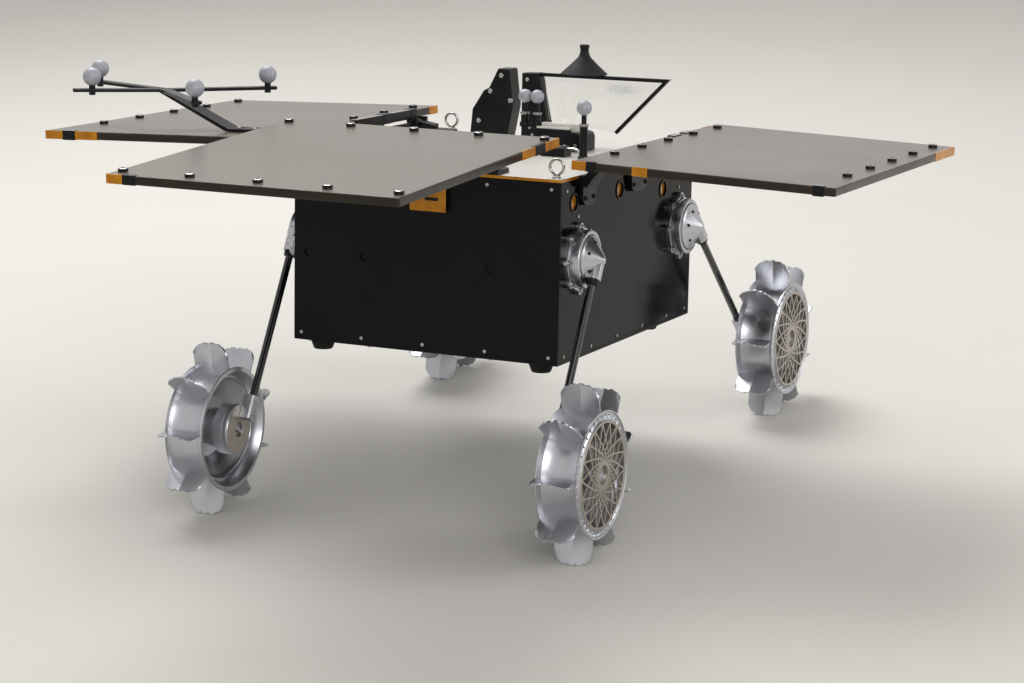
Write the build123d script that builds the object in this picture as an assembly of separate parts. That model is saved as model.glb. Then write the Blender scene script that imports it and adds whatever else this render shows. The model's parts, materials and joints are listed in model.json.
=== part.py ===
"""Four-wheeled planetary rover, ground model with its panels open.

The body is built level, in its own frame: origin in the middle of the body's
underside, X to the rover's right, Y to the rear, Z up. BODY_POSE then sets it on
its wheels. Wheels are built straight in the floor's frame.
"""
from build123d import *
import os
from collections import namedtuple
from math import atan2, cos, degrees, hypot, radians, sin

os.makedirs("parts", exist_ok=True)

# Driving sizes, in millimetres and degrees.
TIP_RADIUS = 107.0          # wheel, to the tips of the grousers
GROUSERS = 9
BODY_W, BODY_D, BODY_H = 356.0, 418.0, 222.0
SKIN = 4.0                  # body panels
BAR = 10.0                  # body frame
RUN = 1.0                   # gap between pieces that turn against each other
SEAT = 0.1                  # gap between pieces that rest on each other

SHOULDER_Y, SHOULDER_Z = 160.0, 123.0
LEG_LENGTH = 259.0
FRONT_SPREAD, REAR_SPREAD = 28.6, 48.5   # legs off the body's vertical

SIDE_X = BODY_W / 2
FRONT_Y = -BODY_D / 2
DECK_Z = BODY_H

# Recesses in the front skin, ports in the side skins, feet under the base.
RECESS_R, RECESS_Z = 6.0, 110.0
RECESS_LEFT, RECESS_MID, RECESS_RIGHT = 158.0, 81.0, 87.0
PORT_R, PORT_DROP, PORT_REAR_DROP = 10.0, 31.0, 46.0
PORT_FRONT_Y, PORT_MID_Y, PORT_REAR_Y = -171.0, -33.0, 108.0
POCKET_DEPTH = 2.0
FOOT_R, FOOT_END_R, FOOT_H = 16.0, 11.5, 12.0
FOOT_X, FOOT_FRONT_Y, FOOT_REAR_Y = 148.0, -189.0, 141.0

# Payload holes in the deck.
PAYLOAD_X, PAYLOAD_Y, PAYLOAD_CIRCLE, PAYLOAD_HOLE_R = -60.0, -70.0, 30.0, 2.25

# Shoulder: lugged flange and drum on the body's side.
FLANGE_T, FLANGE_R = 6.0, 38.0
LUGS, LUG_R, LUG_CIRCLE = 8, 5.5, 38.0
DRUM_L, DRUM_R, LIP, FACE_DEPTH = 12.0, 35.0, 5.0, 3.0
BORE_R, OPENING_R = 10.0, 16.0
FLANGE_X = SIDE_X + FLANGE_T
DRUM_X = FLANGE_X + DRUM_L

# Leg: conical root in the drum's face, socket, tube and foot.
ROOT_R = DRUM_R - LIP - RUN
STUB_R = BORE_R - RUN
ROOT_X = DRUM_X - FACE_DEPTH + RUN
RIDGE, CONE_L, CONE_TIP_R = 1.5, 17.5, 5.0
TUBE_R, TUBE_OUT = 4.7, 8.5
SOCKET_R, SOCKET_DROP, COLLAR_R, COLLAR_H = 9.5, 24.0, 7.5, 7.0
TUBE_X = DRUM_X + TUBE_OUT
ROOT_TIP_X = DRUM_X + RIDGE + CONE_L
FOOT_BACK, FOOT_HALF, FOOT_LOW, FOOT_HIGH = 6.0, 8.0, 14.0, 44.0

# Wheel drive, from the leg's foot outwards.
DRIVE_OUT = 8.0
DRIVE_R, DRIVE_L, STEP_R, STEP_L, SHAFT_R = 31.0, 20.0, 24.0, 16.0, 5.0
EYE_R = 9.0
DRIVE_X = TUBE_X + DRIVE_OUT
STEP_X = DRIVE_X + DRIVE_L
DRIVE_END_X = STEP_X + STEP_L

# Wheel: rolled tread, dish round the drive, ring and lattice disc outside.
RIM_BACK, RIM_W = 7.5, 51.0
TREAD_R, TREAD_T, BEAD = 73.5, 2.5, 3.0
DISC_GAP, DISC_T, RING_LAP = 7.0, 2.5, 4.0
HUB_R, HUB_GAP, CAP_R, CAP_H = 12.0, 1.0, 10.0, 3.5
DISH_IN, DISH_T, CUP_GAP, CUP_MOUTH, CUP_FLARE = 14.0, 2.0, 5.5, 28.0, 4.0
FLOOR_GAP, SHAFT_GAP = 7.5, 3.5
RIM_IN_X = DRIVE_X + RIM_BACK
RIM_OUT_X = RIM_IN_X + RIM_W
DISC_R = TREAD_R - TREAD_T - DISC_GAP
RING_IN_R = DISC_R - RING_LAP
DISC_X = RIM_OUT_X - 2 * DISC_T
CUP_R = DRIVE_R + CUP_GAP
FLOOR_X = DRIVE_END_X + FLOOR_GAP
SHAFT_END_X = DISC_X - SHAFT_GAP

# Grousers: plates bent to an arc, edges swept back, tops rounded.
PADDLE_T, PADDLE_MARGIN, PADDLE_SWEEP, PADDLE_SINK, PADDLE_DROP = 2.2, 1.5, 8.0, 1.5, 11.0
PADDLE_HALF = RIM_W / 2 - PADDLE_MARGIN

# Lattice: openings between two families of crossing arms.
ARMS, WEB, LATTICE_IN_R = 12, 2.4, 13.0
LATTICE_OUT_R = RING_IN_R - WEB / 2

# Solar panels and their hinges.
PLATE_T = 11.0
PLATE_CORNER_R = 4.0
PIVOT_DROP = 7.0            # hinge pin below a panel's underside
PIVOT_BACK = 3.0            # hinge pin inside a panel's hinge edge
BARREL_R, PIN_R, PIN_GAP, EAR_T, EAR_R = 6.0, 3.0, 0.3, 6.0, 8.0
ARM_HALF, BRACKET_T, BRACKET_LOW, POST_FOOT, POST_FOOT_T = 5.0, 6.0, 37.0, 38.0, 5.0
FRONT_HALF, FRONT_DEPTH, FRONT_GAP, FRONT_RISE = 179.0, 404.0, 9.0, 39.5
WING_HALF, WING_DEPTH, WING_GAP, WING_RISE = 233.0, 320.0, 24.0, 16.5
WING_SHIFT = 5.5            # side panels' middle, in front of the body's
FRONT_DROOP, RIGHT_DROOP, LEFT_DROOP = 3.4, 1.6, 2.0

# Knuckles of a hinge: place along it, half width, and what they stand on.
Knuckle = namedtuple("Knuckle", "at half stands_on")
MIDDLE_AT, MIDDLE_HALF, POST_AT, POST_HALF = 7.0, 24.0, 87.0, 9.0
WING_FRONT_AT, WING_FRONT_HALF, WING_MID_AT, WING_MID_HALF, WING_REAR_AT = 138.0, 20.0, 17.0, 26.0, 159.0
FRONT_KNUCKLES = [Knuckle(-POST_AT, POST_HALF, "deck"), Knuckle(MIDDLE_AT, MIDDLE_HALF, "face"), Knuckle(POST_AT, POST_HALF, "deck")]


def wing_knuckles(side):
    """The side panels' knuckles; side is 1 for the right panel and -1 for the left."""
    return [Knuckle(-side * WING_FRONT_AT, WING_FRONT_HALF, "face"), Knuckle(side * WING_MID_AT, WING_MID_HALF, "face"),
            Knuckle(side * WING_REAR_AT, POST_HALF, "deck")]


# Panels: middle and half width along the hinge, depth away from it, the body's face behind the
# hinge, gap to that face, underside above the deck, droop, turn about Z that faces it, knuckles.
Panel = namedtuple("Panel", "name middle half depth face gap rise droop facing knuckles")
PANELS = [
    Panel("front", 0.0, FRONT_HALF, FRONT_DEPTH, BODY_D / 2, FRONT_GAP, FRONT_RISE, FRONT_DROOP, 0, FRONT_KNUCKLES),
    Panel("right", -WING_SHIFT, WING_HALF, WING_DEPTH, SIDE_X, WING_GAP, WING_RISE, RIGHT_DROOP, 90, wing_knuckles(1)),
    Panel("left", WING_SHIFT, WING_HALF, WING_DEPTH, SIDE_X, WING_GAP, WING_RISE, LEFT_DROOP, -90, wing_knuckles(-1)),
]


def pivot_of(panel):
    """Hinge pin (y, z) of a panel that is drawn to the front."""
    return -(panel.face + panel.gap - PIVOT_BACK), DECK_Z + panel.rise - PIVOT_DROP


def top_at(panel, out):
    """Height of a panel's drooped top face at a distance from the body's middle."""
    pivot_y, pivot_z = pivot_of(panel)
    a = radians(panel.droop)
    return pivot_z + (PIVOT_DROP + PLATE_T) / cos(a) - (out + pivot_y) * sin(a) / cos(a)


# Stance: both wheel lines on one level, each wheel on two grouser tips.
def leg_end(side, spread):
    """Wheel centre (y, z) in the body's frame; side is -1 in front, +1 behind."""
    a = radians(spread)
    return side * (SHOULDER_Y + LEG_LENGTH * sin(a)), SHOULDER_Z - LEG_LENGTH * cos(a)


FRONT_END = leg_end(-1, FRONT_SPREAD)
REAR_END = leg_end(1, REAR_SPREAD)
PITCH = degrees(atan2(REAR_END[1] - FRONT_END[1], REAR_END[0] - FRONT_END[0]))
STEP = 360 / GROUSERS
HALF_STEP = radians(STEP / 2)
AXLE_Z = TIP_RADIUS * cos(HALF_STEP) + PADDLE_T / 2 * sin(HALF_STEP)
# The tip that lies nearest to level reaches furthest behind its axle.
TIP_RISE = radians(min((90 - STEP / 2) % STEP, (STEP / 2 - 90) % STEP))
TIP_REACH = TIP_RADIUS * cos(TIP_RISE) + PADDLE_T / 2 * sin(TIP_RISE)


def turned(y, z):
    """(y, z) turned from the body's frame to the floor's, about the body's origin."""
    p = radians(PITCH)
    return y * cos(p) + z * sin(p), z * cos(p) - y * sin(p)


BODY_LIFT = AXLE_Z - turned(*FRONT_END)[1]
# The outline seen from above is centred on the origin, from the front panel's far edge to the rear wheels.
RISE = radians(PITCH - FRONT_DROOP)
FRONT_REACH = turned(*pivot_of(PANELS[0]))[0] - (FRONT_DEPTH + PIVOT_BACK) * cos(RISE) + PIVOT_DROP * sin(RISE)
BODY_SHIFT = -(FRONT_REACH + turned(*REAR_END)[0] + TIP_REACH) / 2
BODY_POSE = Location((0, BODY_SHIFT, BODY_LIFT), (-PITCH, 0, 0))

Corner = namedtuple("Corner", "name side_x side_y spread end")
CORNERS = [
    Corner("front_left", -1, -1, FRONT_SPREAD, FRONT_END),
    Corner("front_right", 1, -1, FRONT_SPREAD, FRONT_END),
    Corner("rear_left", -1, 1, REAR_SPREAD, REAR_END),
    Corner("rear_right", 1, 1, REAR_SPREAD, REAR_END),
]

names = []


def save(name, shape, pose=BODY_POSE):
    """Writes one solid in the floor's frame."""
    solids = shape.solids()
    assert len(solids) == 1, (name, len(solids))
    export_step(pose * solids[0], f"parts/{name}.step")
    names.append(name)


def block(x0, x1, y0, y1, z0, z1):
    """Box between two corners."""
    return Pos((x0 + x1) / 2, (y0 + y1) / 2, (z0 + z1) / 2) * Box(x1 - x0, y1 - y0, z1 - z0)


def rod_x(radius, x0, x1, y=0.0, z=0.0):
    """Round bar along X."""
    return Pos((x0 + x1) / 2, y, z) * Rot(0, 90, 0) * Cylinder(radius, x1 - x0)


def rod_y(radius, y0, y1, x=0.0, z=0.0):
    """Round bar along Y."""
    return Pos(x, (y0 + y1) / 2, z) * Rot(90, 0, 0) * Cylinder(radius, y1 - y0)


def rod_z(radius, z0, z1, x=0.0, y=0.0):
    """Round bar along Z."""
    return Pos(x, y, (z0 + z1) / 2) * Cylinder(radius, z1 - z0)


def turned_x(points):
    """Solid of revolution about X from (x, radius) points."""
    face = make_face(Polyline(*[(x, 0, r) for x, r in points], close=True))
    return revolve(face, Axis.X, 360)


def plate_xz(points, y0, y1):
    """Flat outline of (x, z) points, upright between y0 and y1."""
    return extrude(make_face(Polyline(*[(x, y0, z) for x, z in points], close=True)), y1 - y0, dir=(0, 1, 0))


def plate_yz(points, x0, x1):
    """Flat outline of (y, z) points, upright between x0 and x1."""
    return extrude(make_face(Polyline(*[(x0, y, z) for y, z in points], close=True)), x1 - x0, dir=(1, 0, 0))


def on_side(shape, side):
    """The shape on the right, or its mirror image on the left."""
    return shape if side > 0 else mirror(shape, Plane.YZ)


def body():
    """Frame, skins, deck and base with its feet."""
    w, d, h = SIDE_X - SKIN, BODY_D / 2 - SKIN, BODY_H - 2 * SKIN
    mid = Pos(0, 0, BODY_H / 2)
    frame = mid * Box(2 * w, 2 * d, h)
    frame -= mid * Box(2 * (w - BAR), 2 * (d - BAR), h + 1)
    frame -= mid * Box(2 * w + 1, 2 * (d - BAR), h - 2 * BAR)
    frame -= mid * Box(2 * (w - BAR), 2 * d + 1, h - 2 * BAR)
    save("body_frame", frame)

    front = block(-SIDE_X, SIDE_X, FRONT_Y, FRONT_Y + SKIN, SKIN, BODY_H - SKIN)
    save("rear_panel", mirror(front, Plane.XZ))
    for x in (-RECESS_LEFT, -RECESS_MID, RECESS_RIGHT):
        front -= rod_y(RECESS_R, FRONT_Y - 1, FRONT_Y + POCKET_DEPTH, x, RECESS_Z)
    save("front_panel", front)

    for side, name in ((-1, "left"), (1, "right")):
        skin = block(SIDE_X - SKIN, SIDE_X, FRONT_Y + SKIN, -FRONT_Y - SKIN, SKIN, BODY_H - SKIN)
        for y in (-SHOULDER_Y, SHOULDER_Y):
            skin -= rod_x(OPENING_R, SIDE_X - SKIN - 1, SIDE_X + 1, y, SHOULDER_Z)
        for y, drop in ((PORT_FRONT_Y, PORT_DROP), (PORT_MID_Y, PORT_DROP), (PORT_REAR_Y, PORT_REAR_DROP)):
            skin -= rod_x(PORT_R, SIDE_X - POCKET_DEPTH, SIDE_X + 1, y, DECK_Z - drop)
        save(f"side_panel_{name}", on_side(skin, side))

    deck = block(-SIDE_X, SIDE_X, FRONT_Y, -FRONT_Y, DECK_Z - SKIN, DECK_Z)
    for k in range(4):
        a = radians(45 + 90 * k)
        deck -= rod_z(PAYLOAD_HOLE_R, DECK_Z - SKIN - 1, DECK_Z + 1, PAYLOAD_X + PAYLOAD_CIRCLE * cos(a), PAYLOAD_Y + PAYLOAD_CIRCLE * sin(a))
    save("deck_plate", deck)
    base = block(-SIDE_X, SIDE_X, FRONT_Y, -FRONT_Y, 0, SKIN)
    for x in (-FOOT_X, FOOT_X):
        for y in (FOOT_FRONT_Y, FOOT_REAR_Y):
            base += Pos(x, y, -FOOT_H / 2) * Rot(180, 0, 0) * Cone(FOOT_R, FOOT_END_R, FOOT_H)
    save("base_plate", base)


def shoulders_and_legs():
    """Fixed shoulder drums; legs with conical root, socket, tube and foot; wheel drives."""
    drum = rod_x(FLANGE_R, SIDE_X, FLANGE_X) + rod_x(DRUM_R, FLANGE_X, DRUM_X)
    for k in range(LUGS):
        a = radians(360 * k / LUGS)
        drum += rod_x(LUG_R, SIDE_X, FLANGE_X, LUG_CIRCLE * cos(a), LUG_CIRCLE * sin(a))
    drum -= rod_x(DRUM_R - LIP, DRUM_X - FACE_DEPTH, DRUM_X + 1)
    drum -= rod_x(BORE_R, SIDE_X - 1, DRUM_X + 1)

    leg = turned_x([(SIDE_X + RUN, 0), (SIDE_X + RUN, STUB_R), (ROOT_X, STUB_R), (ROOT_X, ROOT_R), (DRUM_X + RIDGE, ROOT_R),
                    (ROOT_TIP_X, CONE_TIP_R), (ROOT_TIP_X, 0)])
    leg += rod_z(SOCKET_R, -SOCKET_DROP, 0, TUBE_X, 0)
    leg += rod_z(COLLAR_R, -SOCKET_DROP - COLLAR_H, 0, TUBE_X, 0)
    leg += rod_z(TUBE_R, -LEG_LENGTH + FOOT_LOW, 0, TUBE_X, 0)
    foot = block(TUBE_X - FOOT_BACK, DRIVE_X, -FOOT_HALF, FOOT_HALF, -LEG_LENGTH + FOOT_LOW, -LEG_LENGTH + FOOT_HIGH)
    leg += chamfer(foot.edges().filter_by(Axis.Z).group_by(Axis.X)[0], FOOT_BACK / 3)

    drive = rod_x(DRIVE_R, DRIVE_X, STEP_X) + rod_x(STEP_R, STEP_X, DRIVE_END_X) + rod_x(SHAFT_R, DRIVE_END_X, SHAFT_END_X)
    drive -= rod_x(EYE_R, DRIVE_X - 1, DRIVE_X + POCKET_DEPTH)
    drive = Pos(0, 0, -LEG_LENGTH) * drive

    for c in CORNERS:
        # A turn about X by +angle swings a hanging leg towards +Y.
        pivot = Pos(0, c.side_y * SHOULDER_Y, SHOULDER_Z)
        swing = pivot * Rot(c.side_y * c.spread, 0, 0)
        for name, shape, where in (("shoulder", drum, pivot), ("leg", leg, swing), ("wheel_drive", drive, swing)):
            save(f"{name}_{c.name}", on_side(where * shape, c.side_x))


def grouser():
    """One paddle on top of the wheel: a strip bent to an arc, cut to a rounded outline."""
    middle, h, t = (RIM_IN_X + RIM_OUT_X) / 2, PADDLE_HALF, PADDLE_T / 2
    root, top = TREAD_R - PADDLE_SINK, TIP_RADIUS
    ends = [(middle - h, -PADDLE_SWEEP), (middle + h, -PADDLE_SWEEP)]
    near = ThreePointArc((ends[0][0], ends[0][1] - t, root), (middle, -t, root), (ends[1][0], ends[1][1] - t, root))
    far = ThreePointArc((ends[0][0], ends[0][1] + t, root), (middle, t, root), (ends[1][0], ends[1][1] + t, root))
    strip = make_face(near + far + Line(near @ 0, far @ 0) + Line(near @ 1, far @ 1))
    bent = extrude(strip, top - root, dir=(0, 0, 1))

    def at(share, drop):
        return middle + share * h, -PADDLE_SWEEP - PADDLE_T, top - drop * PADDLE_DROP

    left = ThreePointArc(at(-1, 1), at(-0.92, 0.56), at(-0.71, 0.27)) + Line(at(-0.71, 0.27), at(-0.25, 0))
    right = ThreePointArc(at(1, 1), at(0.92, 0.56), at(0.71, 0.27)) + Line(at(0.71, 0.27), at(0.25, 0))
    low = (top - root + PADDLE_SINK) / PADDLE_DROP
    sides = Line(at(-1, 1), at(-1, low)) + Line(at(-1, low), at(1, low)) + Line(at(1, low), at(1, 1))
    cut = make_face(left + right + sides + Line(at(-0.25, 0), at(0.25, 0)))
    return bent & extrude(cut, 2 * (PADDLE_SWEEP + PADDLE_T), dir=(0, 1, 0))


def lattice():
    """Openings of the disc, as one flat sketch's faces: two rings of kites and one of triangles."""
    step = radians(360 / ARMS)
    ratio = (LATTICE_OUT_R / LATTICE_IN_R) ** (1 / 3)
    r = [LATTICE_IN_R * ratio ** k for k in range(4)]
    faces = []
    for k in range(ARMS):
        for inner, wide, outer, turn in ((r[0], r[1], r[2], 0.0), (r[1], r[2], r[3], 0.5)):
            a, spread = step * (k + turn), step / 2 - WEB / wide / 2
            faces.append([(inner + WEB, a), (wide, a + spread), (outer - WEB / 2, a), (wide, a - spread)])
        a, spread = step * k, step / 2 - WEB / LATTICE_OUT_R
        faces.append([(r[2] + WEB, a), (LATTICE_OUT_R, a + spread), (LATTICE_OUT_R, a - spread)])
    return [make_face(Polyline(*[(DISC_X - 1, q * cos(b), q * sin(b)) for q, b in f], close=True)) for f in faces]


def wheels():
    """Rim with dish, hub and grousers; lattice disc on the outer side."""
    inner = TREAD_R - TREAD_T
    rim = turned_x([
        (RIM_IN_X, inner), (RIM_IN_X, TREAD_R + BEAD), (RIM_IN_X + BEAD, TREAD_R), (RIM_OUT_X, TREAD_R),
        (RIM_OUT_X, RING_IN_R), (RIM_OUT_X - DISC_T, RING_IN_R), (RIM_OUT_X - DISC_T, inner), (RIM_IN_X + DISH_IN + DISH_T, inner),
        (RIM_IN_X + CUP_MOUTH + DISH_T, CUP_R + CUP_FLARE + DISH_T), (FLOOR_X + DISH_T, CUP_R + DISH_T), (FLOOR_X + DISH_T, HUB_R),
        (DISC_X, HUB_R), (DISC_X, SHAFT_R + HUB_GAP), (FLOOR_X, SHAFT_R + HUB_GAP), (FLOOR_X, CUP_R),
        (RIM_IN_X + CUP_MOUTH, CUP_R + CUP_FLARE), (RIM_IN_X + DISH_IN, inner)])
    paddle = grouser()
    rim = rim + [Rot(180 + STEP * (k + 0.5), 0, 0) * paddle for k in range(GROUSERS)]

    disc = rod_x(DISC_R, DISC_X, DISC_X + DISC_T) + rod_x(CAP_R, DISC_X + DISC_T, DISC_X + DISC_T + CAP_H)
    disc -= [extrude(face, DISC_T + 2, dir=(1, 0, 0)) for face in lattice()]

    for c in CORNERS:
        where = Location((0, turned(*c.end)[0] + BODY_SHIFT, AXLE_Z))
        for name, shape in (("wheel_rim", rim), ("wheel_disc", disc)):
            save(f"{name}_{c.name}", on_side(shape, c.side_x), where)


def bar_between(p, q, half):
    """Corners of a flat bar from p to q."""
    dx, dz = q[0] - p[0], q[1] - p[1]
    n = hypot(dx, dz)
    ux, uz = -dz / n * half, dx / n * half
    return [(p[0] + ux, p[1] + uz), (q[0] + ux, q[1] + uz), (q[0] - ux, q[1] - uz), (p[0] - ux, p[1] - uz)]


def bracket(knuckle, face, pivot_y, pivot_z):
    """What carries one knuckle: a rounded plate on the body's face, or a strap on the deck."""
    x0, x1 = knuckle.at - knuckle.half, knuckle.at + knuckle.half
    if knuckle.stands_on == "face":
        low = DECK_Z - BRACKET_LOW if face == SIDE_X else DECK_Z - BRACKET_LOW - 2 * BRACKET_T
        plate = block(x0, x1, -face - BRACKET_T, -face, low, DECK_Z)
        plate = fillet(plate.edges().filter_by(Axis.Y).group_by(Axis.Z)[0], 2 * BRACKET_T if face == SIDE_X else BRACKET_T / 6)
        start = (-face - ARM_HALF - SEAT, DECK_Z - 2 * BRACKET_T)
    else:
        end = -face + POST_FOOT - knuckle.half
        plate = block(x0, x1, -face, end, DECK_Z, DECK_Z + POST_FOOT_T) + rod_z(knuckle.half, DECK_Z, DECK_Z + POST_FOOT_T, knuckle.at, end)
        start = (-face + ARM_HALF + RUN, DECK_Z + ARM_HALF)
    arm = plate_yz(bar_between(start, (pivot_y, pivot_z), ARM_HALF), x0, x1)
    return plate + arm + rod_x(BARREL_R, x0, x1, pivot_y, pivot_z)


def panels():
    """Each panel is drawn to the front (-Y) and turned to its side of the body."""
    for p in PANELS:
        pivot_y, pivot_z = pivot_of(p)
        edge, under = p.face + p.gap, DECK_Z + p.rise
        plate = block(p.middle - p.half, p.middle + p.half, -edge - p.depth, -edge, under, under + PLATE_T)
        plate = fillet(plate.edges().filter_by(Axis.Z), PLATE_CORNER_R)
        for k in p.knuckles:
            for x0 in (k.at - k.half - RUN - EAR_T, k.at + k.half + RUN):
                ear = block(x0, x0 + EAR_T, pivot_y - EAR_R, pivot_y + EAR_R, pivot_z, under) + rod_x(EAR_R, x0, x0 + EAR_T, pivot_y, pivot_z)
                plate += ear - rod_x(PIN_R + PIN_GAP, x0 - 1, x0 + EAR_T + 1, pivot_y, pivot_z)
        pivot = Pos(0, pivot_y, pivot_z)
        drooped = pivot * Rot(p.droop, 0, 0) * pivot.inverse() * plate
        save(f"solar_panel_{p.name}", Rot(0, 0, p.facing) * drooped)

        reach = EAR_T + 2 * RUN
        pin = rod_x(PIN_R, min(k.at - k.half for k in p.knuckles) - reach, max(k.at + k.half for k in p.knuckles) + reach, pivot_y, pivot_z)
        hinge = pin + [bracket(k, p.face, pivot_y, pivot_z) for k in p.knuckles]
        save(f"panel_hinge_{p.name}", Rot(0, 0, p.facing) * hinge)


# Deck fittings: places on the deck, and heights above it.
EYE_INSET_X, EYE_INSET_Y, EYE_BASE_R, EYE_BASE_H, EYE_SHANK_R, EYE_LIFT, EYE_RING_R, EYE_WIRE_R = 12.0, 13.0, 5.0, 3.0, 2.5, 13.0, 8.8, 1.7
TOWER_X, TOWER_W, TOWER_H, TOWER_Y, TOWER_T, TOWER_WALL = -117.0, 62.0, 87.0, 152.0, 26.0, 3.0
MAST_X, MAST_W, MAST_H, MAST_Y, MAST_T = -24.0, 37.3, 91.0, 112.0, 16.0
WINDOW_W, WINDOW_H, WINDOW_T, PANE_T = 180.0, 92.0, 6.0, 2.0
CONE_X, CONE_R, CONE_H = 60.0, 30.0, 38.0
BOX_X, BOX_W, BOX_Y, BOX_D, BOX_H, LID_H = 14.0, 94.0, 52.0, 59.0, 24.0, 3.0
STEM_R, BALL_R, TREE_BALL_R = 4.0, 8.7, 11.5
NEAR_X, NEAR_Y, NEAR_H, NEAR_BASE_R, NEAR_BASE_H = 118.0, -5.0, 61.0, 7.0, 3.0
PAIR_X, PAIR_STEP, PAIR_H, PAIR_BAR = 4.5, 17.0, 66.0, 6.0
PLUG_X, PLUG_W, PLUG_Y, PLUG_D, PLUG_H = 58.0, 33.0, -7.0, 22.0, 13.0
TREE_X, TREE_Y, TREE_H, TREE_BALL_H = 384.0, -176.0, 68.0, 87.0
STRAP_W, STRAP_T, STRAP_NEAR, STRAP_BEND, ARM_W, ARM_END = 26.0, 4.0, 242.0, 288.0, 14.0, 12.0

TOWER_OUTLINE = [(0, 0), (0.05, 0.40), (0.31, 0.69), (0.44, 0.74), (0.51, 1), (0.77, 1), (1, 0.48), (0.87, 0)]
MAST_OUTLINE = [(0, 0), (0, 0.99), (0.64, 1), (1, 0.29), (1, 0)]
WINDOW_OUTLINE = [(0, 0.99), (1, 1), (0.6, 0.195), (0.072, 0.31)]
PANE_OUTLINE = [(0.05, 0.92), (0.917, 0.933), (0.587, 0.27), (0.097, 0.372)]
CONE_OUTLINE = [(0, 0), (1, 0), (0.57, 0.34), (0.27, 0.58), (0.18, 0.79), (0.22, 1), (0, 1)]
Arm = namedtuple("Arm", "x y")
ARM_ENDS = [Arm(457.0, -229.0), Arm(510.0, -131.0), Arm(275.0, -281.5), Arm(294.0, -75.0)]


def above_deck(outline, x0, w, h):
    """An outline of shares of its own width and height, set on the deck."""
    return [(x0 + u * w, DECK_Z + v * h) for u, v in outline]


def marker(x, y, z0, z1, ball=BALL_R):
    """Marker ball on its stem."""
    return rod_z(STEM_R, z0, z1, x, y) + Pos(x, y, z1) * Sphere(ball)


def deck_fittings():
    """Lifting eyes, cable tower, window frame and its mast, box and markers."""
    for name, side in (("front", 1), ("rear", -1)):
        x, y = side * (SIDE_X - EYE_INSET_X), side * (FRONT_Y + EYE_INSET_Y)
        eye = rod_z(EYE_BASE_R, DECK_Z, DECK_Z + EYE_BASE_H, x, y) + rod_z(EYE_SHANK_R, DECK_Z, DECK_Z + EYE_LIFT - EYE_RING_R, x, y)
        eye += Pos(x, y, DECK_Z + EYE_LIFT) * Rot(90, 0, 0) * Torus(EYE_RING_R, EYE_WIRE_R)
        save(f"lifting_eye_{name}", eye)

    tower = above_deck(TOWER_OUTLINE, TOWER_X, TOWER_W, TOWER_H)
    shell = plate_xz(tower, TOWER_Y, TOWER_Y + TOWER_T)
    wall, w, h = TOWER_WALL, TOWER_W - 2 * TOWER_WALL, TOWER_H - 2 * TOWER_WALL
    hollow = [(x, z + wall) for x, z in above_deck(TOWER_OUTLINE, TOWER_X + wall, w, h)]
    save("cable_tower", shell - plate_xz(hollow, TOWER_Y + wall, TOWER_Y + TOWER_T + 1))

    middle = MAST_Y + MAST_T / 2
    save("mast_plate", plate_xz(above_deck(MAST_OUTLINE, MAST_X, MAST_W, MAST_H), MAST_Y, MAST_Y + MAST_T))
    outer, inner = above_deck(WINDOW_OUTLINE, 0, WINDOW_W, WINDOW_H), above_deck(PANE_OUTLINE, 0, WINDOW_W, WINDOW_H)
    frame = plate_xz(outer, middle - WINDOW_T / 2, middle + WINDOW_T / 2)
    save("window_frame", frame - plate_xz(inner, middle - WINDOW_T, middle + WINDOW_T))
    save("window_pane", plate_xz(inner, middle - PANE_T / 2, middle + PANE_T / 2))
    profile = [(r * CONE_R, 0, z * CONE_H) for r, z in CONE_OUTLINE]
    cone = revolve(make_face(Polyline(*profile, close=True)), Axis.Z, 360)
    save("strain_cone", Pos(CONE_X, middle, DECK_Z + WINDOW_H + SEAT) * cone)

    box = block(BOX_X, BOX_X + BOX_W, BOX_Y, BOX_Y + BOX_D, DECK_Z, DECK_Z + BOX_H)
    box += block(BOX_X + BOX_W / 15, BOX_X + BOX_W * 0.6, BOX_Y, BOX_Y + BOX_D / 3, DECK_Z + BOX_H, DECK_Z + BOX_H + LID_H)
    save("equipment_box", box)
    near = marker(NEAR_X, NEAR_Y, DECK_Z, DECK_Z + NEAR_H)
    save("marker_near", near + rod_z(NEAR_BASE_R, DECK_Z, DECK_Z + NEAR_BASE_H, NEAR_X, NEAR_Y))
    y = BOX_Y + BOX_D / 6
    low = DECK_Z + BOX_H + LID_H
    pair = block(PAIR_X - PAIR_BAR, PAIR_X + PAIR_STEP + PAIR_BAR, y - PAIR_BAR / 2, y + PAIR_BAR / 2, low, low + PAIR_BAR)
    pair += [marker(x, y, low, DECK_Z + PAIR_H) for x in (PAIR_X, PAIR_X + PAIR_STEP)]
    save("marker_pair", pair)
    plug = block(PLUG_X, PLUG_X + PLUG_W, PLUG_Y, PLUG_Y + PLUG_D, DECK_Z, DECK_Z + PLUG_H)
    save("deck_connector", chamfer(plug.edges().group_by(Axis.Z)[-1], LID_H))


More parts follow.
